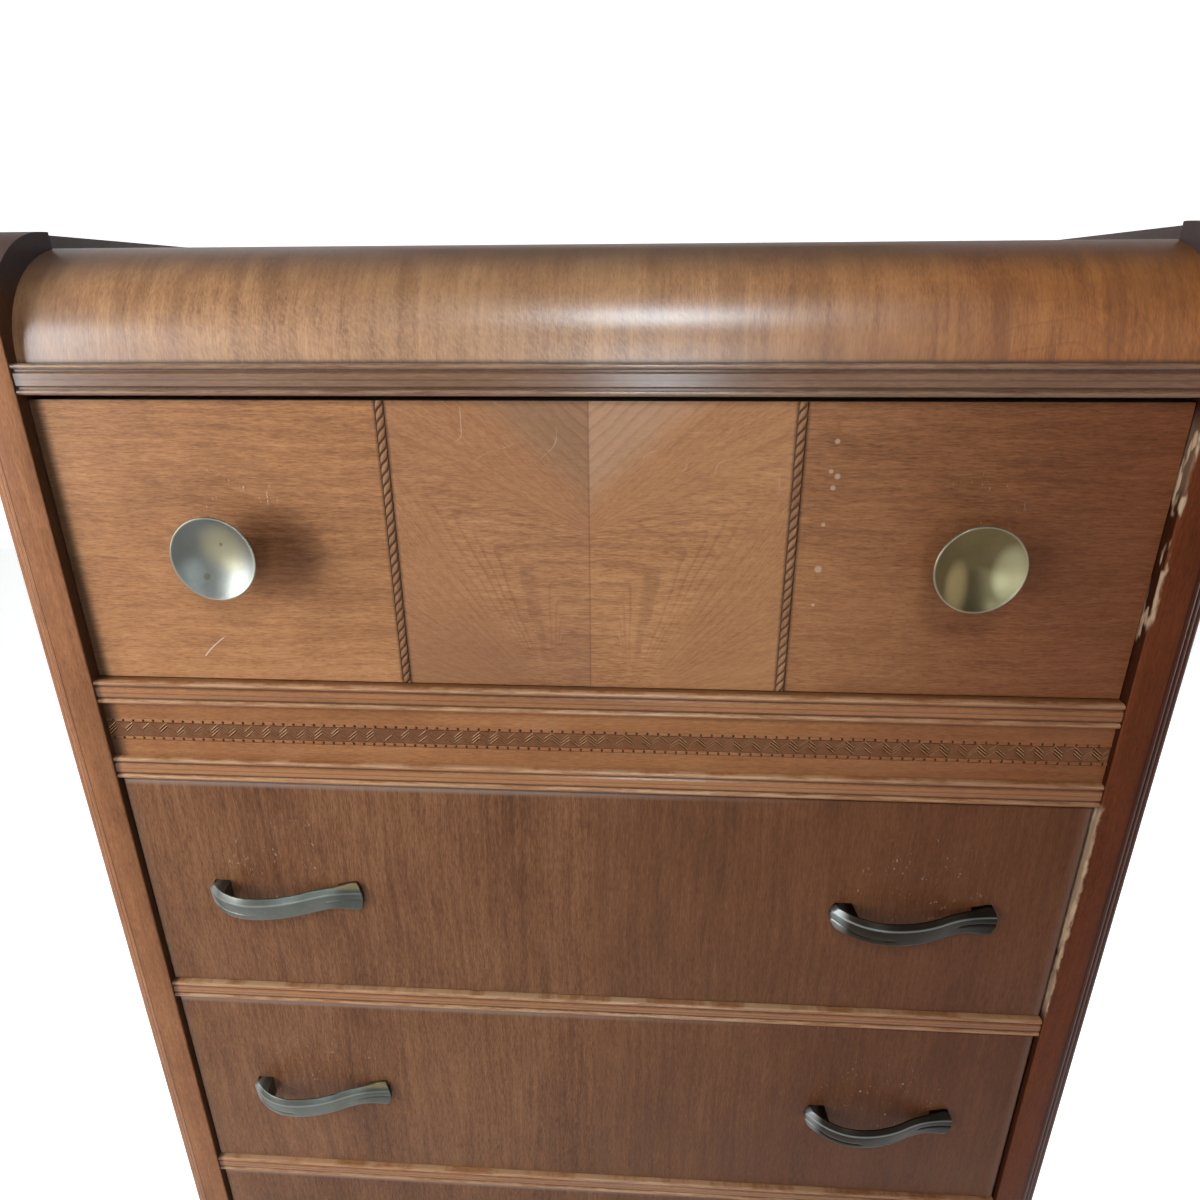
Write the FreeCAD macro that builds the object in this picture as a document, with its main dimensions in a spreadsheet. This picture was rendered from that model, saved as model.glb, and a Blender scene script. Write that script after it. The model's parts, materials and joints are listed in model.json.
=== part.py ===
import FreeCAD, Part
import math
import os
import Sketcher

# Waterfall chest of drawers, as the separate pieces that a cabinet maker would glue, screw and slide
# together. Millimetres, +Z up, the front of the chest towards -Y. The origin is on the floor, under the
# middle of the chest measured with its knobs.

# Driving sizes: name, millimetres, what it measures
SIZES = (
    ("overall_width", 765, "outside of one front post to the outside of the other"),
    ("carcass_depth", 445, "front of the posts to the back"),
    ("post_width", 36.5, "front post, side to side"),
    ("post_depth", 62, "front post, front to back"),
    ("post_flat", 21, "flat part of the post's front, next to the drawers"),
    ("post_fall", 10, "how far the reeded part falls back at the outer side"),
    ("post_reeds", 3, "reeds on the post's outer front edge"),
    ("reed_swell", 0.7, "height of one post reed over its chord"),
    ("arris_radius", 1.5, "rounding of the post's inner front arris"),
    ("rear_post_depth", 38, "rear post, front to back"),
    ("end_panel_thick", 12, "plywood of the ends"),
    ("end_panel_inset", 4, "outer face of the end panel behind the post's outer face"),
    ("end_panel_bottom", 75, "lower edge of the end panels over the floor"),
    ("end_rise", 9, "ends above the top"),
    ("end_corner_radius", 58, "rounded top front corner of the ends"),
    ("roll_radius", 66, "quarter round of the waterfall"),
    ("top_thick", 12, "bent plywood of the top"),
    ("top_moulding_height", 18.7, "reeded moulding under the roll"),
    ("top_drawer_height", 189, "front of the top drawer"),
    ("top_drawer_gap", 3, "gap above the top drawer"),
    ("drawer_height", 193, "front of each lower drawer"),
    ("drawer_gap", 1.5, "gap above and below a drawer front"),
    ("drawer_side_gap", 1, "gap beside a drawer"),
    ("drawer_recess", 8, "top drawer's face behind the front of the posts"),
    ("lower_recess", 4, "lower drawers' faces behind the front of the posts"),
    ("drawer_rear_gap", 7, "rear end of the drawer sides before the rear rails"),
    ("front_thick", 19, "drawer front with its veneer"),
    ("front_edge_radius", 2.5, "rounding of the lower drawers' front edges"),
    ("side_thick", 11, "drawer sides and backs"),
    ("side_drop", 6, "drawer sides below the top edge of the front"),
    ("bottom_thick", 5, "drawer bottom"),
    ("bottom_rise", 8, "drawer bottom above the lower edge of the sides"),
    ("groove_depth", 5, "groove that holds the drawer bottom"),
    ("dado_depth", 3, "dado in the sides that holds the drawer back"),
    ("back_setback", 6, "drawer back in front of the rear end of the sides"),
    ("tail_count", 4, "dovetails in each front corner of a drawer"),
    ("tail_length", 13, "dovetails into the drawer front"),
    ("tail_root", 14, "dovetail at its narrow end"),
    ("tail_tip", 19, "dovetail at its wide end"),
    ("fit_clearance", 0.1, "play of a glued or screwed fit"),
    ("run_clearance", 0.3, "drawer sides above their runners"),
    ("frieze_height", 79, "frieze between the top drawer and the second drawer"),
    ("frieze_thick", 19, "frieze board"),
    ("frieze_recess", 5, "frieze board behind the front of the posts"),
    ("frieze_moulding_height", 17.5, "upper and lower moulding on the frieze"),
    ("band_height", 17, "embossed band on the frieze"),
    ("band_inlay", 2.4, "band let into the frieze board"),
    ("band_border", 3, "plain border of the band"),
    ("band_proud", 0.4, "border of the band before the frieze board"),
    ("rail_height", 16, "reeded rail between two drawers"),
    ("moulding_recess", 1, "mouldings and rails behind the front of the posts"),
    ("bead_height", 3.6, "bead on the edge of a reeded moulding"),
    ("bead_depth", 1.5, "swell of that bead"),
    ("quirk_width", 2.2, "quirk beside the bead"),
    ("band_set", 0.5, "flat of a reeded moulding behind its beads"),
    ("base_height", 129, "top of the base rail over the floor"),
    ("apron_bottom", 62, "lower edge of the base rail beside the posts"),
    ("apron_thick", 22, "base rail, front to back"),
    ("apron_foot", 70, "straight lower edge of the base rail beside each post"),
    ("apron_rise", 24, "rise of the arch in the base rail"),
    ("back_thick", 5, "back panel"),
    ("rear_rail_depth", 20, "rear rails, front to back"),
    ("runner_drop", 20, "depth of a runner below the drawer"),
    ("runner_reach", 18, "runner under the drawer side"),
    ("guide_rise", 26, "guide above the lower edge of the drawer side"),
    ("leaf_thick", 1.2, "veneer leaves on the top drawer"),
    ("rope_width", 6, "rope inlay strip"),
    ("rope_offset", 126, "middle of a rope strip from the middle of the chest"),
    ("rope_proud", 1.1, "crown of the rope strip before the veneer"),
    ("knob_inset", 114, "knob from the end of the top drawer's front"),
    ("knob_lift", 96, "knob above the lower edge of the top drawer"),
    ("knob_radius", 27, "dished face of a knob"),
    ("knob_standoff", 28, "rim of a knob before the drawer face"),
    ("knob_dish", 7, "depth of the dish"),
    ("knob_wall", 2, "thickness of the dish"),
    ("knob_rim", 1.2, "bevelled rim of the dish"),
    ("knob_neck_radius", 5.5, "narrow end of the neck, behind the dish"),
    ("knob_foot_radius", 9, "collar against the drawer"),
    ("knob_foot_length", 3, "collar, front to back"),
    ("pull_inset", 110, "middle of a pull from the end of its drawer front"),
    ("pull_lift", 94, "pull above the lower edge of its drawer"),
    ("pull_length", 120, "strap pull, end to end"),
    ("pull_crest", 20, "crest of the wave left of the pull's middle"),
    ("pull_standoff", 22.5, "crest of the wave before the drawer face"),
    ("pull_strap", 3.4, "thickness of the strap"),
    ("pull_toe", 3, "steep end of the strap where it meets the face"),
    ("pull_foot", 4.6, "thickness of the flat foot"),
    ("pull_foot_length", 16, "flat foot, end to its inner edge"),
    ("pull_height", 18.5, "strap, top to bottom"),
    ("pull_flare_height", 25, "flared foot, top to bottom"),
    ("pull_flare_run", 26, "length over which the foot flares"),
    ("pull_end_bulge", 4, "bulge of both ends of the strap"),
    ("pull_hole_inset", 12, "pull screws from the ends of the pull"),
    ("pull_boss_width", 8.4, "square boss for the screw at the steep end"),
    ("screw_radius", 2, "shank of a handle screw"),
    ("screw_head_radius", 4, "head of a handle screw"),
    ("screw_head_height", 2.4, "head of a handle screw, along its axis"),
    ("pull_screw_bite", 3.4, "pull screw inside the pull"),
    ("knob_screw_bite", 9, "knob screw inside the knob"),
    ("bore_spare", 0.5, "blind bore beyond the tip of a screw"),
)

CUT_MARGIN = 5


class Size:
    """A length with its number and the sheet formula that drives it."""

    def __init__(self, text, value):
        self.text = text
        self.value = value

    def __add__(self, other):
        other = as_size(other)
        return Size(f"({self.text} + {other.text})", self.value + other.value)

    def __sub__(self, other):
        other = as_size(other)
        return Size(f"({self.text} - {other.text})", self.value - other.value)

    def __mul__(self, other):
        other = as_size(other)
        return Size(f"({self.text} * {other.text})", self.value * other.value)

    def __truediv__(self, other):
        other = as_size(other)
        return Size(f"({self.text} / {other.text})", self.value / other.value)

    def __rsub__(self, other):
        return as_size(other) - self

    def __neg__(self):
        return self * -1

    __radd__ = __add__
    __rmul__ = __mul__


def as_size(thing):
    if isinstance(thing, Size):
        return thing
    return Size(repr(float(thing)), float(thing))


def root(size):
    return Size(f"sqrt({size.text})", math.sqrt(size.value))


def arc_radius(chord, swell):
    """Radius of an arc from its chord and the height of its swell."""
    return (chord * chord / 4 + swell * swell) / (2 * swell)


doc = FreeCAD.newDocument("waterfall_chest")
sheet = doc.addObject("Spreadsheet::Sheet", "Sizes")


class Dimensions:
    """The driving sizes, each under its own name."""


dim = Dimensions()
for row, (name, number, note) in enumerate(SIZES, start=1):
    sheet.set(f"A{row}", name)
    sheet.set(f"B{row}", str(number))
    sheet.set(f"C{row}", note)
    sheet.setAlias(f"B{row}", name)
    setattr(dim, name, Size(f"Sizes.{name}", float(number)))
doc.recompute()

# Places that several pieces share
half_width = dim.overall_width / 2
opening_half = half_width - dim.post_width
panel_inner = half_width - dim.end_panel_inset - dim.end_panel_thick
drawer_half = opening_half - dim.drawer_side_gap
box_half = drawer_half - dim.side_thick

knob_reach = dim.knob_standoff - dim.drawer_recess
front_y = (knob_reach - dim.carcass_depth) / 2
back_y = front_y + dim.carcass_depth
post_back_y = front_y + dim.post_depth
rear_post_y = back_y - dim.rear_post_depth
face_y = front_y + dim.drawer_recess
lower_face_y = front_y + dim.lower_recess
moulding_y = front_y + dim.moulding_recess
frieze_y = front_y + dim.frieze_recess
drawer_rear_y = back_y - dim.back_thick - dim.rear_rail_depth - dim.drawer_rear_gap
drawer_back_y = drawer_rear_y - dim.back_setback
knob_x = drawer_half - dim.knob_inset
pull_x = drawer_half - dim.pull_inset
pull_hole_x = dim.pull_length / 2 - dim.pull_hole_inset

drawer_step = dim.drawer_height + dim.rail_height + 2 * dim.drawer_gap
drawer_4_z = dim.base_height + dim.drawer_gap
drawer_3_z = drawer_4_z + drawer_step
drawer_2_z = drawer_3_z + drawer_step
lower_rail_z = drawer_3_z - dim.drawer_gap - dim.rail_height
upper_rail_z = drawer_2_z - dim.drawer_gap - dim.rail_height
frieze_z = drawer_2_z + dim.drawer_height + dim.drawer_gap
drawer_1_z = frieze_z + dim.frieze_height + dim.drawer_gap
top_moulding_z = drawer_1_z + dim.top_drawer_height + dim.top_drawer_gap
roll_z = top_moulding_z + dim.top_moulding_height
top_z = roll_z + dim.roll_radius
end_z = top_z + dim.end_rise
drawer_levels = (drawer_1_z, drawer_2_z, drawer_3_z, drawer_4_z)

pieces = {}


def keep(label, piece):
    """Give a finished piece its label and put it on the list of pieces."""
    piece.Label = label
    pieces[label] = piece
    return piece


def bind(thing, path, size):
    thing.setExpression(path, as_size(size).text)


def block(name, x, y, z):
    """Square-edged board between two places on each axis."""
    box = doc.addObject("Part::Box", name)
    for edge, axis, (low, high) in (("Length", "x", x), ("Width", "y", y), ("Height", "z", z)):
        bind(box, edge, high - low)
        bind(box, f"Placement.Base.{axis}", low)
    return box


def mirrored_span(side, near, far):
    """Span on the X axis from near to far, on the right (1) or on the left (-1)."""
    return (near, far) if side > 0 else (-far, -near)


def group(name, members):
    compound = doc.addObject("Part::Compound", name)
    compound.Links = members
    return compound


def new_body(name):
    return doc.addObject("PartDesign::Body", name)


def sketch_on(body, plane, offset=0):
    """Sketch on one of the body's own planes, moved along the plane's normal."""
    sketch = body.newObject("Sketcher::SketchObject", f"{body.Name}_sketch")
    support = [feature for feature in body.Origin.OriginFeatures if feature.Role == plane]
    sketch.AttachmentSupport = (support[0], [""])
    sketch.MapMode = "FlatFace"
    bind(sketch, "AttachmentOffset.Base.z", offset)
    return sketch


def tie(sketch, rule, size):
    number = sketch.addConstraint(rule)
    bind(sketch, f"Constraints[{number}]", size)


def pin_point(sketch, edge, point, x, y):
    tie(sketch, Sketcher.Constraint("DistanceX", -1, 1, edge, point, x.value), x)
    tie(sketch, Sketcher.Constraint("DistanceY", -1, 1, edge, point, y.value), y)


def arc_between(start, finish, radius, turn):
    """The shorter arc from start to finish, turning left (1) or right (-1)."""
    chord = finish - start
    rise = math.sqrt(max(radius * radius - chord.Length * chord.Length / 4, 0))
    across = FreeCAD.Vector(-chord.y, chord.x, 0).normalize()
    centre = start + chord * 0.5 + across * (rise * turn)
    circle = Part.Circle(centre, FreeCAD.Vector(0, 0, 1), radius)
    first, last = (start, finish) if turn > 0 else (finish, start)
    begin = math.atan2(first.y - centre.y, first.x - centre.x)
    sweep = (math.atan2(last.y - centre.y, last.x - centre.x) - begin) % (2 * math.pi)
    return Part.ArcOfCircle(circle, begin, begin + sweep)


def outline(sketch, corners):
    """Closed outline. A corner is (x, y), or (x, y, radius, turn) where an arc leads to it."""
    corners = [tuple(as_size(part) for part in corner[:3]) + corner[3:] for corner in corners]
    first = sketch.GeometryCount
    count = len(corners)
    ends = []
    for index, corner in enumerate(corners):
        start = FreeCAD.Vector(corners[index - 1][0].value, corners[index - 1][1].value, 0)
        finish = FreeCAD.Vector(corner[0].value, corner[1].value, 0)
        if len(corner) == 2:
            sketch.addGeometry(Part.LineSegment(start, finish), False)
            ends.append((1, 2))
        else:
            sketch.addGeometry(arc_between(start, finish, corner[2].value, corner[3]), False)
            ends.append((1, 2) if corner[3] > 0 else (2, 1))
    for index in range(count):
        following = (index + 1) % count
        joint = (first + index, ends[index][1], first + following, ends[following][0])
        sketch.addConstraint(Sketcher.Constraint("Coincident", *joint))
    for index, corner in enumerate(corners):
        pin_point(sketch, first + index, ends[index][1], corner[0], corner[1])
        if len(corner) == 4:
            tie(sketch, Sketcher.Constraint("Radius", first + index, corner[2].value), corner[2])


def rectangle(sketch, x, y):
    outline(sketch, [(x[0], y[0]), (x[1], y[0]), (x[1], y[1]), (x[0], y[1])])


def circle(sketch, x, y, radius):
    centre = FreeCAD.Vector(x.value, y.value, 0)
    edge = sketch.addGeometry(Part.Circle(centre, FreeCAD.Vector(0, 0, 1), radius.value), False)
    pin_point(sketch, edge, 3, x, y)
    tie(sketch, Sketcher.Constraint("Radius", edge, radius.value), radius)


def pad(body, sketch, length, symmetric=False, backwards=False):
    feature = body.newObject("PartDesign::Pad", f"{body.Name}_pad")
    feature.Profile = sketch
    bind(feature, "Length", length)
    feature.SideType = "Symmetric" if symmetric else "One side"
    feature.Reversed = backwards
    return feature


def pocket(body, sketch, depth=None, backwards=False):
    """Cut the sketch out of the body: to a depth, or right through both ways."""
    doc.recompute()
    volume = body.Shape.Volume
    feature = body.newObject("PartDesign::Pocket", f"{body.Name}_pocket")
    feature.Profile = sketch
    if depth is None:
        feature.Type = "ThroughAll"
        feature.SideType = "Symmetric"
    else:
        bind(feature, "Length", depth)
        feature.Reversed = backwards
    doc.recompute()
    if body.Shape.Volume >= volume:
        raise RuntimeError(f"a pocket of {body.Name} cuts nothing")
    return feature


def revolve(body, sketch):
    feature = body.newObject("PartDesign::Revolution", f"{body.Name}_revolution")
    feature.Profile = sketch
    feature.ReferenceAxis = (sketch, ["V_Axis"])
    feature.Angle = 360
    return feature


def place(body, x, y, z):
    for axis, size in (("x", x), ("y", y), ("z", z)):
        bind(body, f"Placement.Base.{axis}", size)


def round_edges(body, base, radius, wanted):
    """Fillet the edges of a feature whose both ends pass the test."""
    doc.recompute()
    names = []
    for number, edge in enumerate(base.Shape.Edges, start=1):
        if all(wanted(vertex.Point) for vertex in edge.Vertexes):
            names.append(f"Edge{number}")
    fillet = body.newObject("PartDesign::Fillet", f"{body.Name}_fillet")
    fillet.Base = (base, names)
    bind(fillet, "Radius", radius)
    return fillet


# Ends: moulded front posts, plywood panels, rear posts

def front_post(label, side):
    """Front post: flat beside the drawers, reeds falling back to the outer side, round top corner."""
    body = new_body(label)

    def at(out, deep, *arc):
        return (side * (opening_half + out), front_y + deep) + arc

    reeds = dim.post_width - dim.post_flat
    step_out = reeds / dim.post_reeds
    step_back = dim.post_fall / dim.post_reeds
    reed_radius = arc_radius(root(step_out * step_out + step_back * step_back), dim.reed_swell)
    section = [at(0, dim.post_depth), at(dim.post_width, dim.post_depth), at(dim.post_width, dim.post_fall)]
    for reed in range(int(dim.post_reeds.value)):
        left = dim.post_reeds - reed - 1
        section.append(at(dim.post_flat + step_out * left, step_back * left, reed_radius, -side))
    section.append(at(dim.arris_radius, 0))
    section.append(at(0, dim.arris_radius, dim.arris_radius, -side))
    plan = sketch_on(body, "XY_Plane")
    outline(plan, section)
    pad(body, plan, end_z)
    profile = sketch_on(body, "YZ_Plane")
    radius = dim.end_corner_radius
    outline(profile, [
        (front_y, end_z - radius),
        (front_y + radius, end_z, radius, -1),
        (front_y + radius, end_z + CUT_MARGIN),
        (front_y - CUT_MARGIN, end_z + CUT_MARGIN),
        (front_y - CUT_MARGIN, end_z - radius),
    ])
    pocket(body, profile)
    keep(label, body)


def chest_end(name, side):
    front_post(f"{name}_front_post", side)
    outer = half_width - dim.end_panel_inset
    panel = block(f"{name}_end_panel", mirrored_span(side, panel_inner, outer),
                  (post_back_y, rear_post_y), (dim.end_panel_bottom, end_z))
    keep(f"{name}_end_panel", panel)
    post = block(f"{name}_rear_post", mirrored_span(side, opening_half, half_width),
                 (rear_post_y, back_y), (as_size(0), end_z))
    keep(f"{name}_rear_post", post)


# Top: the waterfall, its rail and moulding

def waterfall_top():
    """Bent shell: flat top that rolls over the front edge, notched round the four posts."""
    body = new_body("waterfall_top")
    radius = dim.roll_radius
    under_z = top_z - dim.top_thick
    profile = sketch_on(body, "YZ_Plane")
    outline(profile, [
        (face_y, roll_z),
        (face_y + radius, top_z, radius, -1),
        (back_y, top_z),
        (back_y, under_z),
        (face_y + radius, under_z),
        (face_y + dim.top_thick, roll_z, radius - dim.top_thick, 1),
    ])
    pad(body, profile, 2 * panel_inner, symmetric=True)
    notches = sketch_on(body, "XY_Plane")
    for side in (-1, 1):
        across = mirrored_span(side, opening_half, panel_inner + CUT_MARGIN)
        rectangle(notches, across, (face_y - CUT_MARGIN, post_back_y))
        rectangle(notches, across, (rear_post_y, back_y + CUT_MARGIN))
    pocket(body, notches)
    keep("waterfall_top", body)


def reeded_strip(label, low_z, height, behind_y):
    """Strip or rail across the opening whose front has a bead, a flat and a bead."""
    body = new_body(label)
    high_z = low_z + height
    bead_y = moulding_y + dim.bead_depth
    flat_y = moulding_y + dim.band_set
    bead = arc_radius(dim.bead_height, dim.bead_depth)
    land = dim.quirk_width / 2
    profile = sketch_on(body, "YZ_Plane")
    outline(profile, [
        (behind_y, low_z),
        (bead_y, low_z),
        (bead_y, low_z + dim.bead_height, bead, -1),
        (bead_y, low_z + dim.bead_height + land),
        (flat_y, low_z + dim.bead_height + dim.quirk_width),
        (flat_y, high_z - dim.bead_height - dim.quirk_width),
        (bead_y, high_z - dim.bead_height - land),
        (bead_y, high_z - dim.bead_height),
        (bead_y, high_z, bead, -1),
        (behind_y, high_z),
    ])
    pad(body, profile, 2 * opening_half, symmetric=True)
    keep(label, body)


def top_rail():
    rail = block("top_rail", (-opening_half, opening_half), (frieze_y, post_back_y),
                 (top_moulding_z, roll_z))
    keep("top_rail", rail)


# Frieze between the top drawer and the drawers below it

def frieze():
    middle_z = frieze_z + dim.frieze_height / 2
    low_z = middle_z - dim.band_height / 2
    high_z = middle_z + dim.band_height / 2
    bed_y = frieze_y + dim.band_inlay
    board = block("frieze_blank", (-opening_half, opening_half), (frieze_y, frieze_y + dim.frieze_thick),
                  (frieze_z, frieze_z + dim.frieze_height))
    channel = block("frieze_channel", (-opening_half, opening_half), (frieze_y - CUT_MARGIN, bed_y),
                    (low_z, high_z))
    cut = doc.addObject("Part::Cut", "frieze_board")
    cut.Base = board
    cut.Tool = channel
    keep("frieze_board", cut)
    band = new_body("frieze_band")
    border_y = frieze_y - dim.band_proud
    profile = sketch_on(band, "YZ_Plane")
    outline(profile, [
        (bed_y, low_z),
        (border_y, low_z),
        (border_y, low_z + dim.band_border),
        (frieze_y, low_z + dim.band_border),
        (frieze_y, high_z - dim.band_border),
        (border_y, high_z - dim.band_border),
        (border_y, high_z),
        (bed_y, high_z),
    ])
    pad(band, profile, 2 * opening_half, symmetric=True)
    keep("frieze_band", band)
    upper_z = frieze_z + dim.frieze_height - dim.frieze_moulding_height
    reeded_strip("frieze_upper_moulding", upper_z, dim.frieze_moulding_height, frieze_y)
    reeded_strip("frieze_lower_moulding", frieze_z, dim.frieze_moulding_height, frieze_y)


# Base, back and the rails and runners inside

def base_rail():
    """Front rail over the floor with a shallow arch in its lower edge."""
    body = new_body("base_rail")
    arch_half = opening_half - dim.apron_foot
    front = sketch_on(body, "XZ_Plane", -moulding_y)
    outline(front, [
        (-opening_half, dim.apron_bottom),
        (-arch_half, dim.apron_bottom),
        (arch_half, dim.apron_bottom, arc_radius(2 * arch_half, dim.apron_rise), -1),
        (opening_half, dim.apron_bottom),
        (opening_half, dim.base_height),
        (-opening_half, dim.base_height),
    ])
    pad(body, front, dim.apron_thick, backwards=True)
    keep("base_rail", body)


def back():
    panel_y = back_y - dim.back_thick
    panel = block("back_panel", (-opening_half, opening_half), (panel_y, back_y),
                  (dim.end_panel_bottom, top_z - dim.top_thick))
    keep("back_panel", panel)
    rails = []
    for level, drawer_z in enumerate(drawer_levels, start=1):
        under_z = drawer_z - dim.drawer_gap
        rails.append(block(f"rear_rail_{level}", (-opening_half, opening_half),
                           (panel_y - dim.rear_rail_depth, panel_y), (under_z - dim.rail_height, under_z)))
    keep("rear_rails", group("rear_rails", rails))


def runners(label, side):
    """One runner under each drawer side, in one piece with the guide beside it."""
    members = []
    for level, drawer_z in enumerate(drawer_levels, start=1):
        body = new_body(f"{label}_{level}")
        low_z = drawer_z - dim.runner_drop
        run_z = drawer_z - dim.run_clearance
        guide_z = drawer_z + dim.guide_rise
        section = sketch_on(body, "XZ_Plane", -post_back_y)
        outline(section, [
            (side * (opening_half - dim.runner_reach), low_z),
            (side * panel_inner, low_z),
            (side * panel_inner, guide_z),
            (side * opening_half, guide_z),
            (side * opening_half, run_z),
            (side * (opening_half - dim.runner_reach), run_z),
        ])
        pad(body, section, rear_post_y - post_back_y, backwards=True)
        members.append(body)
    keep(label, group(label, members))


# Drawers

def groove_span(low_z):
    """Lower and upper edge of the groove that holds a drawer's bottom."""
    groove_z = low_z + dim.bottom_rise
    return groove_z, groove_z + dim.bottom_thick + 2 * dim.fit_clearance


class Drawer:
    """Where a drawer stands: its face, the inside of its front and the heights of its boards."""

    def __init__(self, number, face, low_z, height):
        self.name = f"drawer_{number}"
        self.face_y = face
        self.inner_y = face + dim.front_thick
        self.low_z = low_z
        self.front_top_z = low_z + height
        self.side_top_z = low_z + height - dim.side_drop


def tails(drawer, play):
    """Dovetails above the groove, bottom to top: four corners each, wider by the play all round."""
    tip_y = drawer.inner_y - dim.tail_length - play
    start_z = groove_span(drawer.low_z)[1]
    pitch = (drawer.side_top_z - start_z) / dim.tail_count
    shapes = []
    for number in range(int(dim.tail_count.value)):
        middle = start_z + pitch * (number + 0.5)
        narrow = dim.tail_root / 2 + play
        wide = dim.tail_tip / 2 + play
        shapes.append([(drawer.inner_y, middle - narrow), (tip_y, middle - wide),
                       (tip_y, middle + wide), (drawer.inner_y, middle + narrow)])
    return shapes


def drawer_front(drawer, holes, veneered):
    """Drawer front with half-blind dovetail sockets, the groove for the bottom and the handle holes."""
    label = f"{drawer.name}_front"
    body = new_body(label)
    board_y = drawer.face_y + dim.leaf_thick if veneered else drawer.face_y
    elevation = sketch_on(body, "XZ_Plane", -board_y)
    rectangle(elevation, (-drawer_half, drawer_half), (drawer.low_z, drawer.front_top_z))
    board = pad(body, elevation, drawer.inner_y - board_y, backwards=True)
    if not veneered:
        round_edges(body, board, dim.front_edge_radius,
                    lambda point: abs(point.y - board_y.value) < dim.fit_clearance.value)
    for side in (-1, 1):
        sockets = sketch_on(body, "YZ_Plane", side * drawer_half)
        for shape in tails(drawer, dim.fit_clearance):
            outline(sockets, shape)
        pocket(body, sockets, dim.side_thick + dim.fit_clearance, backwards=side < 0)
    groove = sketch_on(body, "XZ_Plane", -drawer.inner_y)
    groove_half = box_half + dim.groove_depth
    rectangle(groove, (-groove_half, groove_half), groove_span(drawer.low_z))
    pocket(body, groove, dim.groove_depth, backwards=True)
    drilling = sketch_on(body, "XZ_Plane", -board_y)
    for x, z in holes:
        circle(drilling, x, z, dim.screw_radius + 2 * dim.fit_clearance)
    pocket(body, drilling)
    keep(label, body)


def drawer_side(drawer, name, side):
    """Drawer side: dovetails at the front, groove for the bottom, dado for the back."""
    label = f"{drawer.name}_{name}_side"
    body = new_body(label)
    left_x = -drawer_half if side < 0 else box_half
    elevation = sketch_on(body, "YZ_Plane", left_x)
    front_edge = [corner for shape in tails(drawer, as_size(0)) for corner in shape]
    outline(elevation, [(drawer_rear_y, drawer.low_z), (drawer.inner_y, drawer.low_z)] + front_edge
            + [(drawer.inner_y, drawer.side_top_z), (drawer_rear_y, drawer.side_top_z)])
    pad(body, elevation, dim.side_thick)
    groove = sketch_on(body, "YZ_Plane", side * box_half)
    rectangle(groove, (drawer.inner_y, drawer_rear_y), groove_span(drawer.low_z))
    pocket(body, groove, dim.groove_depth, backwards=side > 0)
    dado = sketch_on(body, "YZ_Plane", side * box_half)
    rectangle(dado, (drawer_back_y - dim.side_thick, drawer_back_y),
              (groove_span(drawer.low_z)[1], drawer.side_top_z))
    pocket(body, dado, dim.dado_depth, backwards=side > 0)
    keep(label, body)


def drawer_box(drawer, holes, veneered=False):
    drawer_front(drawer, holes, veneered)
    drawer_side(drawer, "left", -1)
    drawer_side(drawer, "right", 1)
    groove_z, groove_top_z = groove_span(drawer.low_z)
    back_half = box_half + dim.dado_depth
    board = block(f"{drawer.name}_back", (-back_half, back_half),
                  (drawer_back_y - dim.side_thick, drawer_back_y), (groove_top_z, drawer.side_top_z))
    keep(f"{drawer.name}_back", board)
    tongue = dim.groove_depth - dim.fit_clearance
    panel = block(f"{drawer.name}_bottom", (-box_half - tongue, box_half + tongue),
                  (drawer.inner_y - tongue, drawer_back_y), (groove_z, groove_z + dim.bottom_thick))
    keep(f"{drawer.name}_bottom", panel)


def handle_screw(drawer, name, x, z, bite):
    """Flat-headed screw from inside the drawer, through the front and into a handle."""
    body = new_body(name)
    tip = -(dim.front_thick + bite)
    section = sketch_on(body, "XY_Plane")
    outline(section, [
        (as_size(0), tip),
        (dim.screw_radius, tip),
        (dim.screw_radius, as_size(0)),
        (dim.screw_head_radius, as_size(0)),
        (dim.screw_head_radius, dim.screw_head_height),
        (as_size(0), dim.screw_head_height),
    ])
    revolve(body, section)
    place(body, x, drawer.inner_y, z)
    return body


def knob(drawer, name, side):
    """Dished knob: a thin spun dish with a bevelled rim on a tapered neck, bored for its screw."""
    label = f"{drawer.name}_{name}_knob"
    body = new_body(label)
    bore = dim.screw_radius + dim.fit_clearance
    bore_end = -(dim.knob_screw_bite + dim.bore_spare)
    rim_y = -dim.knob_standoff
    dish_y = dim.knob_dish - dim.knob_standoff
    mouth = dim.knob_radius - dim.knob_rim
    bowl = arc_radius(2 * mouth, dim.knob_dish)
    collar_y = -dim.knob_foot_length
    section = sketch_on(body, "XY_Plane")
    outline(section, [
        (bore, as_size(0)),
        (dim.knob_foot_radius, as_size(0)),
        (dim.knob_foot_radius, collar_y),
        (dim.knob_neck_radius, dish_y + dim.knob_wall),
        (dim.knob_radius, rim_y + dim.knob_wall),
        (mouth, rim_y),
        (as_size(0), dish_y, bowl, 1),
        (as_size(0), bore_end),
        (bore, bore_end),
    ])
    revolve(body, section)
    place(body, side * knob_x, drawer.face_y, drawer.low_z + dim.knob_lift)
    keep(label, body)


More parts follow.
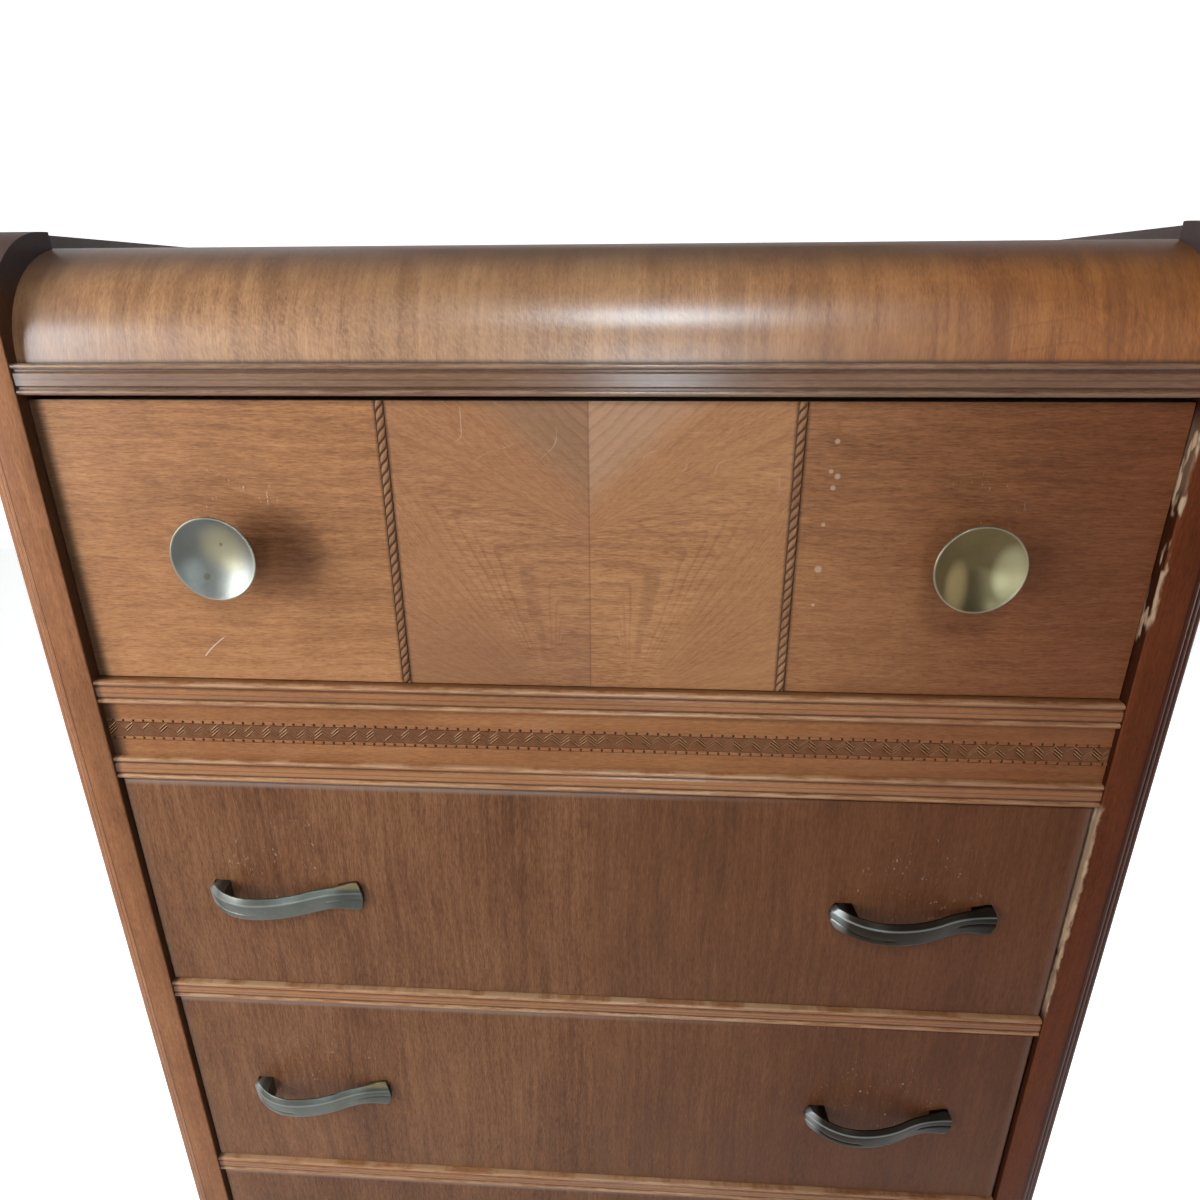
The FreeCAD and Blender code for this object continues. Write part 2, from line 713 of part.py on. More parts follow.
def strap_pull(drawer, name, side):
    """Cast strap pull: a wave in plan with a steep left end and a flared flat foot at the right."""
    label = f"{drawer.name}_{name}_pull"
    body = new_body(label)
    half = dim.pull_length / 2
    crest_x = -dim.pull_crest
    crest_y = -dim.pull_standoff
    strap = dim.pull_strap
    steep = arc_radius(2 * (half + crest_x), dim.pull_standoff - dim.pull_toe)
    run = half - crest_x
    fall = dim.pull_standoff - dim.pull_foot
    gentle = (run * run + fall * fall) / (4 * fall)
    turn_x = crest_x + run / 2
    turn_y = crest_y + fall / 2
    inset = 1 - strap / gentle
    inner_turn_x = crest_x + run / 2 * inset
    inner_turn_y = crest_y + gentle + (fall / 2 - gentle) * inset
    foot_x = half - dim.pull_foot_length
    hollow = gentle + strap
    foot_y = root(hollow * hollow - dim.pull_foot_length * dim.pull_foot_length) - gentle - dim.pull_foot
    heel = steep - strap
    sink = steep - dim.pull_standoff
    heel_x = crest_x - root(heel * heel - sink * sink)
    plan = sketch_on(body, "XY_Plane")
    outline(plan, [
        (-half, as_size(0)),
        (-half, -dim.pull_toe),
        (crest_x, crest_y, steep, 1),
        (turn_x, turn_y, gentle, 1),
        (half, -dim.pull_foot, gentle, -1),
        (half, as_size(0)),
        (foot_x, as_size(0)),
        (foot_x, foot_y),
        (inner_turn_x, inner_turn_y, hollow, 1),
        (crest_x, crest_y + strap, gentle - strap, -1),
        (heel_x, as_size(0), heel, -1),
    ])
    pad(body, plan, dim.pull_flare_height, symmetric=True)
    boss = sketch_on(body, "XZ_Plane")
    half_boss = dim.pull_boss_width / 2
    rectangle(boss, (-pull_hole_x - half_boss, half_boss - pull_hole_x), (-half_boss, half_boss))
    boss_edge = pull_hole_x + half_boss + crest_x
    pad(body, boss, root(steep * steep - boss_edge * boss_edge) - sink - dim.fit_clearance)
    middle = dim.pull_height / 2
    flare = dim.pull_flare_height / 2
    bulge = dim.pull_end_bulge
    neck_x = half - dim.pull_flare_run
    flare_radius = arc_radius(2 * (dim.pull_flare_run - bulge), flare - middle)
    edge = sketch_on(body, "XZ_Plane")
    rectangle(edge, (-half - CUT_MARGIN, half + CUT_MARGIN), (-flare - CUT_MARGIN, flare + CUT_MARGIN))
    outline(edge, [
        (bulge - half, -middle, arc_radius(2 * middle, bulge), 1),
        (neck_x, -middle),
        (half - bulge, -flare, flare_radius, -1),
        (half - bulge, flare, arc_radius(2 * flare, bulge), 1),
        (neck_x, middle, flare_radius, -1),
        (bulge - half, middle),
    ])
    pocket(body, edge)
    bores = sketch_on(body, "XZ_Plane")
    for end in (-1, 1):
        circle(bores, end * pull_hole_x, as_size(0), dim.screw_radius + dim.fit_clearance)
    pocket(body, bores, dim.pull_screw_bite + dim.bore_spare, backwards=True)
    place(body, side * pull_x, drawer.face_y, drawer.low_z + dim.pull_lift)
    keep(label, body)


def top_drawer():
    """Top drawer: four veneer leaves, two rope strips and two knobs on its front."""
    drawer = Drawer(1, face_y, drawer_1_z, dim.top_drawer_height)
    knob_z = drawer.low_z + dim.knob_lift
    holes = [(side * knob_x, knob_z) for side in (-1, 1)]
    leaf_y = face_y + dim.leaf_thick
    drawer_box(drawer, holes, veneered=True)
    half_rope = dim.rope_width / 2
    for name, side in (("left", -1), ("right", 1)):
        spans = (("outer", dim.rope_offset + half_rope, drawer_half),
                 ("centre", as_size(0), dim.rope_offset - half_rope))
        for place_name, near, far in spans:
            label = f"drawer_1_{name}_{place_name}_leaf"
            blank = block(f"{label}_blank", mirrored_span(side, near, far), (face_y, leaf_y),
                          (drawer.low_z, drawer.front_top_z))
            if place_name == "centre":
                keep(label, blank)
                continue
            hole = doc.addObject("Part::Cylinder", f"{label}_hole")
            bind(hole, "Radius", dim.screw_radius + 2 * dim.fit_clearance)
            bind(hole, "Height", dim.front_thick)
            hole.Placement.Rotation = FreeCAD.Rotation(FreeCAD.Vector(1, 0, 0), 90)
            place(hole, side * knob_x, drawer.inner_y, knob_z)
            drilled = doc.addObject("Part::Cut", label)
            drilled.Base = blank
            drilled.Tool = hole
            keep(label, drilled)
        rope = new_body(f"drawer_1_{name}_rope_strip")
        section = sketch_on(rope, "XY_Plane", drawer.low_z)
        middle = side * dim.rope_offset
        outline(section, [
            (middle - half_rope, leaf_y),
            (middle + half_rope, leaf_y),
            (middle + half_rope, face_y),
            (middle - half_rope, face_y, arc_radius(dim.rope_width, dim.rope_proud), -1),
        ])
        pad(rope, section, dim.top_drawer_height)
        keep(f"drawer_1_{name}_rope_strip", rope)
        knob(drawer, name, side)
    screws = [handle_screw(drawer, f"knob_screw_{number}", x, z, dim.knob_screw_bite)
              for number, (x, z) in enumerate(holes, start=1)]
    keep("drawer_1_knob_screws", group("drawer_1_knob_screws", screws))


def lower_drawer(number, low_z):
    """Lower drawer: plain veneered front with two strap pulls."""
    drawer = Drawer(number, lower_face_y, low_z, dim.drawer_height)
    pull_z = low_z + dim.pull_lift
    holes = [(side * pull_x + end * pull_hole_x, pull_z)
             for side in (-1, 1) for end in (-1, 1)]
    drawer_box(drawer, holes)
    strap_pull(drawer, "left", -1)
    strap_pull(drawer, "right", 1)
    screws = [handle_screw(drawer, f"{drawer.name}_screw_{count}", x, z, dim.pull_screw_bite)
              for count, (x, z) in enumerate(holes, start=1)]
    keep(f"{drawer.name}_pull_screws", group(f"{drawer.name}_pull_screws", screws))


chest_end("left", -1)
chest_end("right", 1)
waterfall_top()
top_rail()
reeded_strip("top_moulding", top_moulding_z, dim.top_moulding_height, frieze_y)
frieze()
reeded_strip("upper_divider_rail", upper_rail_z, dim.rail_height, post_back_y)
reeded_strip("lower_divider_rail", lower_rail_z, dim.rail_height, post_back_y)
base_rail()
back()
runners("left_runners", -1)
runners("right_runners", 1)
top_drawer()
lower_drawer(2, drawer_2_z)
lower_drawer(3, drawer_3_z)
lower_drawer(4, drawer_4_z)

doc.recompute()
for thing in doc.Objects:
    if "Invalid" in thing.State or "Error" in thing.State:
        raise RuntimeError(f"{thing.Label} did not build: {thing.State}")
for label, piece in pieces.items():
    if piece.Shape.isNull() or not piece.Shape.isValid():
        raise RuntimeError(f"{label} has no valid shape")

os.makedirs("parts", exist_ok=True)
for label, piece in pieces.items():
    piece.Shape.exportStep(f"parts/{label}.step")
print(len(pieces), "pieces written")
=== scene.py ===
import json
import math
import random

import bpy
from mathutils import Matrix, Vector


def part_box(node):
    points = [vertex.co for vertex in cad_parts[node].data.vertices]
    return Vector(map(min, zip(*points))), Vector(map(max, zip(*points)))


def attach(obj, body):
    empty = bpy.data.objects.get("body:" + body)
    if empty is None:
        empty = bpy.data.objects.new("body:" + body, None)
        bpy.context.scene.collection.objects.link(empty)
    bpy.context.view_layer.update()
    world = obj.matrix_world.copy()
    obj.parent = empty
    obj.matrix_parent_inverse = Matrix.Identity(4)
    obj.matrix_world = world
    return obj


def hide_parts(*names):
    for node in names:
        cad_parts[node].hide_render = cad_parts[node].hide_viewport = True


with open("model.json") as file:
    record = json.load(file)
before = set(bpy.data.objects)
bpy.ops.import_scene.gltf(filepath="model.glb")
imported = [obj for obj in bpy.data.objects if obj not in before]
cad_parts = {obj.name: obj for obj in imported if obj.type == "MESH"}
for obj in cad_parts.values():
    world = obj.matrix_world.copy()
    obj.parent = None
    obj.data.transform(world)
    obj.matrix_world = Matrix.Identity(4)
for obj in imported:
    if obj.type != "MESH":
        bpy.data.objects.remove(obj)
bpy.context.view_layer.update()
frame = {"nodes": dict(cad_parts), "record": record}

# Waterfall chest of drawers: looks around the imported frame. Metres, +Z up, the front towards -Y.

NODES = frame["nodes"]
MM = 0.001
SIDES = (("left", -1), ("right", 1))
DEGREES = math.degrees(1)

BODY_OF = {
    node: body
    for body, members in frame["record"]["behaviour"]["bodies"].items()
    for node in members
}

# Places that the looks are tied to, read from the frame
TOP_LEAF_LOW, TOP_LEAF_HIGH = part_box("drawer_1_left_centre_leaf")
POST_LOW, POST_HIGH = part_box("right_front_post")
POST_FRONT = POST_LOW.y
POST_FLAT = 21 * MM
REED_PITCH = (POST_HIGH.x - POST_LOW.x - POST_FLAT) / 3
ROLL_LOW, ROLL_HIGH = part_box("waterfall_top")
FACE_Y = TOP_LEAF_LOW.y
KNOB_LOW, KNOB_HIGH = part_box("drawer_1_right_knob")
KNOB_X = (KNOB_LOW.x + KNOB_HIGH.x) / 2
KNOB_Z = (KNOB_LOW.z + KNOB_HIGH.z) / 2
PULL_LOW, PULL_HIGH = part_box("drawer_2_right_pull")
PULL_X = (PULL_LOW.x + PULL_HIGH.x) / 2


def assign(thing, **settings):
    for name, value in settings.items():
        setattr(thing, name, value)
    return thing


def add_object(name, data):
    made = bpy.data.objects.new(name, data)
    bpy.context.scene.collection.objects.link(made)
    return made


def new_material(name):
    material = bpy.data.materials.new(name)
    material.use_nodes = True
    material.node_tree.nodes.clear()
    return material


# Node trees and materials

def operation(kind):
    return lambda wire, *others: wire.nodes.math(kind, wire, *others)


class Wire:
    """A node's output, with arithmetic that adds the nodes for it."""

    def __init__(self, nodes, socket):
        self.nodes = nodes
        self.socket = socket

    def __rsub__(self, other):
        return self.nodes.math("SUBTRACT", other, self)

    __add__ = operation("ADD")
    __radd__ = operation("ADD")
    __sub__ = operation("SUBTRACT")
    __mul__ = operation("MULTIPLY")
    __rmul__ = operation("MULTIPLY")
    __truediv__ = operation("DIVIDE")
    __abs__ = operation("ABSOLUTE")


class Nodes:
    """A node tree and the ways to add to it."""

    def __init__(self, tree):
        self.tree = tree

    def node(self, kind, **settings):
        return assign(self.tree.nodes.new(kind), **settings)

    def put(self, socket, value):
        if isinstance(value, Wire):
            self.tree.links.new(value.socket, socket)
        elif socket.type == "RGBA":
            socket.default_value = (*value, 1)
        else:
            socket.default_value = value

    def add(self, kind, values, output=0, **settings):
        """A node with values on its sockets, and the wire from one of its outputs."""
        made = self.node(kind, **settings)
        for socket, value in values.items():
            self.put(made.inputs[socket], value)
        return Wire(self, made.outputs[output])

    def math(self, kind, *values):
        return self.add("ShaderNodeMath", dict(enumerate(values)), operation=kind)

    def seen(self):
        """1 for rays that show a thing to the eye, also in a mirror, 0 for those that light by it."""
        path = self.node("ShaderNodeLightPath")
        rays = ("Is Camera Ray", "Is Glossy Ray", "Is Transmission Ray")
        camera, glossy, through = (Wire(self, path.outputs[ray]) for ray in rays)
        return self.math("MAXIMUM", self.math("MAXIMUM", camera, glossy), through)


class Look(Nodes):
    """A node material: its shader, the place on the object, patterns and the colour so far."""

    def __init__(self, name):
        self.material = new_material(name)
        super().__init__(self.material.node_tree)
        self.shader = self.node("ShaderNodeBsdfPrincipled")
        output = self.node("ShaderNodeOutputMaterial")
        self.tree.links.new(self.shader.outputs["BSDF"], output.inputs["Surface"])
        split = self.node("ShaderNodeSeparateXYZ")
        self.tree.links.new(self.node("ShaderNodeTexCoord").outputs["Object"], split.inputs[0])
        self.x, self.y, self.z = (Wire(self, socket) for socket in split.outputs)
        self.colour = None

    def noise(self, x, y, z, detail=2.0, roughness=0.5):
        """Cloudy pattern, about 0.3 to 0.7, with features one unit across."""
        place = self.add("ShaderNodeCombineXYZ", {0: x, 1: y, 2: z})
        values = {"Vector": place, "Scale": 1.0, "Detail": detail, "Roughness": roughness}
        return self.add("ShaderNodeTexNoise", values)

    def step(self, value, low, high):
        """0 below low, 1 above high, smooth between; low may be the greater."""
        falling = low >= high
        values = {"Value": value, "From Min": min(low, high), "From Max": max(low, high)}
        values.update({"To Min": float(falling), "To Max": float(not falling)})
        return self.add("ShaderNodeMapRange", values, interpolation_type="SMOOTHSTEP")

    def mix(self, share, first, second, kind="MIX"):
        values = {0: share, 6: first, 7: second}
        return self.add("ShaderNodeMix", values, 2, data_type="RGBA", blend_type=kind)

    def lay(self, share, colour):
        """Covers a share of the look's colour with another."""
        self.colour = self.mix(share, self.colour, colour)

    def shade(self, share, shade):
        """Multiplies the look's colour by a shade where the share is 1."""
        self.colour = self.mix(share, self.colour, shade, "MULTIPLY")

    def ramp(self, value, *stops):
        made = self.node("ShaderNodeValToRGB")
        elements = made.color_ramp.elements
        while len(elements) < len(stops):
            elements.new(0.5)
        for element, (place, colour) in zip(elements, stops):
            element.position = place
            element.color = (*colour, 1)
        self.put(made.inputs[0], value)
        return Wire(self, made.outputs[0])

    def spot(self, x, z, wide, tall, core=0.0):
        """1 in the core of an oval place on the front, falling softly to 0 at its edge."""
        across = (self.x - x) / wide
        up = (self.z - z) / tall
        return self.step(across * across + up * up, 1.0, core)

    def disc(self, x, z, radius):
        """1 inside a small round place on the front, 0 outside."""
        return self.spot(x, z, radius, radius, 0.3)

    def set(self, **sockets):
        for name, value in sockets.items():
            self.put(self.shader.inputs[name.replace("_", " ")], value)

    def finish(self, rough, height, depth):
        """Gives the shader the look's colour, its roughness and a fine relief."""
        bump = self.add("ShaderNodeBump", {"Strength": 1.0, "Distance": depth, "Height": height})
        self.set(Base_Color=self.colour, Roughness=rough, Normal=bump)
        return self


class Grain:
    """What wood shows along and across its grain, each about 0 to 1."""

    def __init__(self, look, across, along, deep, seed, wander):
        sway = look.noise(across * 5 + seed, along * 4, deep * 5)
        ripple = look.noise(across * 110 + seed, along * 70, deep * 110)
        across = across + (sway - 0.5) * wander + (ripple - 0.5) * 1.6 * MM
        self.drift = look.noise(across * 14 + seed, along * 2.2, deep * 14)
        self.streak = look.noise(across * 240, along * 10 + seed, deep * 240, 3, 0.6)
        self.fibre = look.noise(across * 1200, along * 130 + seed, deep * 1200, 2, 0.6)
        self.pore = look.step(look.noise(across * 2000, along * 200 + seed, deep * 2000, 1), 0.6, 0.74)
        self.mottle = look.noise(across * 60 + seed, along * 30, deep * 60, 2)


def darker(colour, share):
    return tuple(part * share for part in colour)


def wood(look, grain, tones, drift, streak, fibre, mottle, pore):
    """Colour of wood from dark to light, by its grain."""
    value = (
        (grain.drift - 0.5) * drift
        + (grain.streak - 0.5) * streak
        + (grain.fibre - 0.5) * fibre
        + (grain.mottle - 0.5) * mottle
        + 0.5
    )
    dark, middle, light = tones
    colour = look.ramp(value, (0.1, dark), (0.5, middle), (0.9, light))
    return look.mix(grain.pore * pore, colour, darker(dark, 0.55))


def lacquer(look, grain, rough=0.42, relief=0.05 * MM, shine=0.12, coat=0.0, soft=0.3):
    """Satin lacquer over wood: pores and fibres print through it a little."""
    look.set(Specular_IOR_Level=shine, Coat_Weight=coat, Coat_Roughness=soft)
    rough = rough + (grain.streak - 0.5) * 0.25 + grain.pore * 0.12
    return look.finish(rough, grain.fibre * 0.6 - grain.pore * 0.8 + grain.streak * 0.5, relief)


def bare(look, grain):
    """Unfinished wood."""
    rough = 0.72 + (grain.streak - 0.5) * 0.3
    return look.finish(rough, grain.fibre + grain.streak - grain.pore, 0.12 * MM)


# Looks of the show wood

BROWN = ((0.178, 0.071, 0.029), (0.335, 0.141, 0.057), (0.465, 0.224, 0.098))
PINK_BROWN = ((0.163, 0.065, 0.03), (0.312, 0.132, 0.057), (0.435, 0.205, 0.093))
DARK_BROWN = ((0.088, 0.034, 0.015), (0.16, 0.063, 0.027), (0.235, 0.104, 0.048))
RED_BROWN = ((0.13, 0.047, 0.019), (0.25, 0.097, 0.041), (0.37, 0.162, 0.072))
FRIEZE_BROWN = ((0.145, 0.052, 0.019), (0.265, 0.1, 0.036), (0.37, 0.16, 0.064))
MOULDING_BROWN = ((0.09, 0.038, 0.018), (0.16, 0.072, 0.036), (0.25, 0.125, 0.066))
HONEY = ((0.19, 0.078, 0.029), (0.335, 0.15, 0.06), (0.45, 0.228, 0.1))
PALE_WOOD = (0.62, 0.43, 0.28)
BARE_DARK = (0.33, 0.19, 0.105)
# Pale of rubbed lacquer and of a painted highlight on the bead tops
WEAR_AND_HIGHLIGHT = (0.52, 0.31, 0.17)
# Dark of grime in joints and grooves, and of painted shade in corners, gaps, quirks and under parts
GRIME_AND_SHADE = (0.02, 0.009, 0.005)
SPECK = (0.72, 0.58, 0.47)
DROP = (0.6, 0.4, 0.29)
# Painted shade on tops that face up, away from the light
TOP_SHADE = (0.06, 0.043, 0.042)
# Painted shade in the gap over the top drawer
GAP_SHADE = (0.035, 0.016, 0.009)
# Painted shadow beside the left (-1) and the right (1) knob
KNOB_SHADOW_SHADE = {-1: (0.5, 0.44, 0.42), 1: (0.72, 0.66, 0.64)}
# Painted shade towards the right, where the light falls off
RIGHT_FALLOFF_SHADE = {
    "roll": (0.82, 0.56, 0.28),
    "leaf": (0.4, 0.28, 0.24),
    "drawer": (0.63, 0.48, 0.4),
    "moulding": (0.72, 0.62, 0.58),
    "frieze": (0.66, 0.56, 0.52),
    "band": (0.75, 0.65, 0.6),
}
# Painted shade at the left end of the roll
LEFT_SHADE = (0.7, 0.68, 0.72)
# Painted shade on the right post towards its front, where the light falls off
POST_SHADE = (0.4, 0.23, 0.15)
# Painted shade on the outer reeds of the right post, which face away from the light
REED_SHADE = (0.6, 0.55, 0.55)
ROLL_CLOUD = (0.21, 0.094, 0.042)
# Painted shade on the top of the roll
ROLL_TOP_SHADE = (0.1, 0.052, 0.036)
VEE_DULL = (0.17, 0.105, 0.062)
# Painted sheen in the vee of the right leaf
VEE_SHEEN = (0.42, 0.26, 0.17)
LEAF_FOOT = (0.17, 0.073, 0.04)
RING_LINE = (0.12, 0.05, 0.026)
SEAM_LINE = (0.09, 0.037, 0.02)
RIGHT_HALF = (0.125, 0.05, 0.023)
# Pale edges of the lower drawers: wear, and a painted highlight on the top edge
EDGE_WEAR_AND_HIGHLIGHT = (0.23, 0.155, 0.12)
BAND_DARK = (0.1, 0.035, 0.013)
# Painted highlight on the raised edges of the pressed strokes
STROKE_HIGHLIGHT = (0.55, 0.28, 0.12)
ROPE_BROWN = ((0.13, 0.053, 0.023), (0.24, 0.105, 0.046), (0.36, 0.185, 0.09))
# Painted shade in the hollows of the rope
ROPE_HOLLOW_SHADE = (0.06, 0.024, 0.011)


def scuff(look, region, amount=0.25):
    """Small pale dents and flecks inside a region."""
    fleck = look.noise(look.x * 620, look.y * 620, look.z * 279, 1)
    sparse = look.step(look.noise(look.x * 60, 0.0, look.z * 60), 0.48, 0.6)
    look.lay(look.step(fleck, 0.66, 0.73) * sparse * region * amount, SPECK)


def left_post_shadow(look, half, reach):
    """1 in the corner against the left post, where its shadow is painted, 0 beyond the reach."""
    return look.step(look.x, reach - half, reach * 0.25 - half)


def gap_shade_share(look, high):
    """1 on the upper edge of a board, where shade in the gap above its drawer is painted."""
    return look.step(look.z, high - 0.3 * MM, high - 0.1 * MM)


def shade_right_falloff(look, start, end, piece):
    """Painted shade that sets in towards the right, where the light falls off."""
    look.shade(look.step(look.x, start, end), RIGHT_FALLOFF_SHADE[piece])


def waterfall_look():
    """Crossbanded veneer over the roll: grain that follows the bend, clouds and some curl."""
    look = Look("waterfall_veneer_look")
    along = look.y + look.z
    grain = Grain(look, look.x, along, 0.0, 3.1, 0.02)
    cloud = look.noise(look.x * 7, along * 14, 4.0, 3)
    look.colour = wood(look, grain, HONEY, 0.9, 1.1, 1.1, 0.8, 0.4)
    look.lay(look.step(cloud, 0.42, 0.62) * 0.35, ROLL_CLOUD)
    stripe = look.noise(look.x * 75, along * 5, 9.0, 3)
    look.lay(look.step(stripe, 0.5, 0.68) * 0.45, HONEY[0])
    look.lay(look.step(stripe, 0.46, 0.3) * 0.35, HONEY[2])
    curl = look.noise((look.x + along * 0.7) * 420, (along - look.x * 0.7) * 150, 0.0)
    low_half = look.step(look.z, ROLL_LOW.z + 60 * MM, ROLL_LOW.z + 15 * MM)
    curl_place = look.step(look.x, 0.14, 0.04) * look.step(look.x, -0.32, -0.2) * low_half
    look.lay(look.step(curl, 0.45, 0.62) * curl_place * 0.35, HONEY[2])
    arch = look.math("FRACT", (look.x - 0.26) * (look.x - 0.26) * 900 + along * 60 + grain.drift * 2.5)
    arch_place = look.step(look.x, 0.16, 0.24) * low_half
    look.lay(look.step(arch, 0.8, 0.98) * arch_place * 0.3, HONEY[0])
    # Painted shade on the top of the roll, which faces up away from the light
    top_edge = look.step(look.z, ROLL_HIGH.z - 22 * MM, ROLL_HIGH.z - 4 * MM)
    look.lay(top_edge * 0.75, ROLL_TOP_SHADE)
    # Painted shade towards the right, where the light falls off; the coat is thinner there too
    right = look.step(look.x, 0.0, 0.3)
    look.shade(right, RIGHT_FALLOFF_SHADE["roll"])
    # Painted shade along the left end of the roll
    look.shade(left_post_shadow(look, ROLL_HIGH.x, 90 * MM), LEFT_SHADE)
    # Darker along the foot of the roll: grime and painted shade in the crease
    foot = look.step(look.z, ROLL_LOW.z + 2.5 * MM, ROLL_LOW.z)
    look.lay(foot * 0.6, GRIME_AND_SHADE)
    # Painted shadow of the left post
    look.lay(left_post_shadow(look, ROLL_HIGH.x, 16 * MM) * 0.6, GRIME_AND_SHADE)
    coat = (1.0 - top_edge * 0.6) * (1.0 - right * 0.5)
    return lacquer(look, grain, 0.42 + top_edge * 0.25, shine=0.35, coat=coat)


# Pale drops beside the right rope strip, millimetres: across, above the drawer's edge, radius
DROPS = (
    (147.5, 166, 1.875), (145.5, 148, 1.625), (149.5, 145, 2.125), (147.5, 138, 1.875),
    (144, 115, 1.5), (143.5, 86, 2.75), (142.5, 62, 1.375),
)

# Short scratch under the left knob
SCRATCH_X = -258.5 * MM
SCRATCH_Z = TOP_LEAF_LOW.z + 24 * MM


def outer_leaf_look(side):
    """Outer leaf of the top drawer: plain veneer with its grain across."""
    look = Look(f"outer_leaf_look_{side}")
    grain = Grain(look, look.z, look.x, look.y, 5.0 + side, 0.02)
    look.colour = wood(look, grain, BROWN, 0.6, 0.6, 0.9, 0.3, 0.5)
    low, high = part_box("drawer_1_right_outer_leaf")
    above_knob = look.disc(side * KNOB_X + 0.008, KNOB_Z + 0.034, 0.03)
    scuff(look, above_knob, 0.42)
    # Painted shadow of the knob on the leaf beside it
    knob_shadow = look.spot(side * KNOB_X + 28 * MM, KNOB_Z - 4 * MM, 40 * MM, 38 * MM)
    look.shade(knob_shadow, KNOB_SHADOW_SHADE[side])
    inner_edge = look.step(abs(look.x), low.x + 2.2 * MM, low.x)
    look.lay(inner_edge * 0.55, GRIME_AND_SHADE)
    if side > 0:
        # Painted shade towards the right, where the light falls off
        shade_right_falloff(look, low.x - 0.12, high.x, "leaf")
        for across, lift, radius in DROPS:
            look.lay(look.disc(across * MM, low.z + lift * MM, radius * MM) * 0.4, DROP)
    else:
        up = look.z - SCRATCH_Z
        line = look.step(abs(look.x - SCRATCH_X - up * 1.1 - up * up * 22), 0.7 * MM, 0.25 * MM)
        look.lay(line * look.step(abs(up), 8 * MM, 6 * MM) * 0.6, SPECK)
        # Painted shadow of the left post
        look.lay(left_post_shadow(look, high.x, 11 * MM) * 0.8, GRIME_AND_SHADE)
    # Painted shade in the gap above the drawer
    look.lay(gap_shade_share(look, high.z), GRIME_AND_SHADE)
    return lacquer(look, grain)


# Figure of the centre leaves, in millimetres on the leaf: the sides of its rings fan up from a point near
# the foot, their tops are level, and over them rays rise from the seam and fold back along a vee
FAN_ACROSS = 25.0
FAN_UP = -12.0
FAN_UPRIGHT = 80.0
FAN_BEND = 14.0
CORE_RING = 88.0
VEE_UP = 103.0
VEE_ACROSS = -12.0
VEE_SLOPE = 0.9
RING_PITCH = 12.5


def leaf_figure(look):
    """A value that is constant along the veneer's rings, the height over the vee, and the place."""
    across = abs(look.x) * 1000
    up = (look.z - TOP_LEAF_LOW.z) * 1000
    lean = FAN_UPRIGHT - look.math("ARCTAN2", up - FAN_UP, across - FAN_ACROSS) * DEGREES
    bent = look.math("MINIMUM", lean, FAN_BEND)
    sides = bent * abs(bent) * 0.17 + look.math("MAXIMUM", lean - FAN_BEND, 0.0) * 3.9 + CORE_RING
    rise = look.math("MAXIMUM", up - VEE_UP, 0.0)
    reach = across - VEE_ACROSS
    over_vee = look.math("MAXIMUM", rise - reach * VEE_SLOPE, 0.0)
    rays = look.math("MINIMUM", rise / reach, VEE_SLOPE) * 115
    tops = look.math("MINIMUM", up, VEE_UP) + rays + over_vee * 1.4
    return look.math("SMOOTH_MAX", tops, sides, 9.0), over_vee, across, up


def centre_leaf_look(side):
    """Book-matched leaf: level grain inside soft rings, slanting grain round them and in the vee."""
    look = Look(f"centre_leaf_look_{side}")
    rings, over_vee, across, up = leaf_figure(look)
    level = Grain(look, look.z, look.x, look.y, 9.0, 0.01)
    slant = Grain(look, rings * (0.5 * MM), (across + up) * MM, 0.0, 9.0, 0.004)
    tones = BROWN if side > 0 else PINK_BROWN
    inside = wood(look, level, tones, 0.5, 0.5, 1.1, 0.3, 0.5)
    outside = wood(look, slant, tones, 0.4, 0.5, 0.8, 0.2, 0.4)
    away = across - FAN_ACROSS
    clear = look.step(away * away + (up - FAN_UP) * (up - FAN_UP), 300.0, 2000.0)
    look.colour = look.mix(look.step(rings, 130.0, 170.0) * clear * 0.7, inside, outside)
    wobble = look.noise(across * 0.03, up * 0.03, 2.0)
    turn = look.math("FRACT", (rings - 1.5 + (wobble - 0.5) * 9) / RING_PITCH)
    line = look.step(turn, 0.5, 0.88) * look.step(turn, 1.0, 0.9)
    strength = look.step(look.noise(across * 0.03, up * 0.02, 7.0 + side), 0.38, 0.62)
    vee = look.step(over_vee, -4.0, 40.0)
    if side < 0:
        look.lay(vee * 0.45, VEE_DULL)
        foot = look.step(up, 75.0, 5.0)
        look.lay(foot * 0.3, LEAF_FOOT)
    else:
        # Painted sheen in the vee
        look.lay(vee * 0.4, VEE_SHEEN)
    core = look.step(rings, 150.0, 120.0)
    share = line * clear * (strength * 0.12 + core * 0.12 + vee * 0.08 + 0.07)
    look.lay(share, RING_LINE)
    seam = look.step(across, 0.8, 0.2)
    look.lay(seam * 0.4, SEAM_LINE)
    rope_edge = look.step(across, 121.0, 123.0)
    look.lay(rope_edge * 0.55, GRIME_AND_SHADE)
    hair = abs(look.noise(look.x * 26, 0.0, look.z * 44, 0) - 0.5)
    place = look.step(look.noise(look.x * 22, 3.0, look.z * 30), 0.5, 0.6) * look.step(up, 130.0, 155.0)
    look.lay(look.step(hair, 0.005, 0.001) * place * 0.25, SPECK)
    # Painted shade in the gap above the drawer
    look.lay(gap_shade_share(look, TOP_LEAF_HIGH.z), GRIME_AND_SHADE)
    return lacquer(look, level, 0.38)


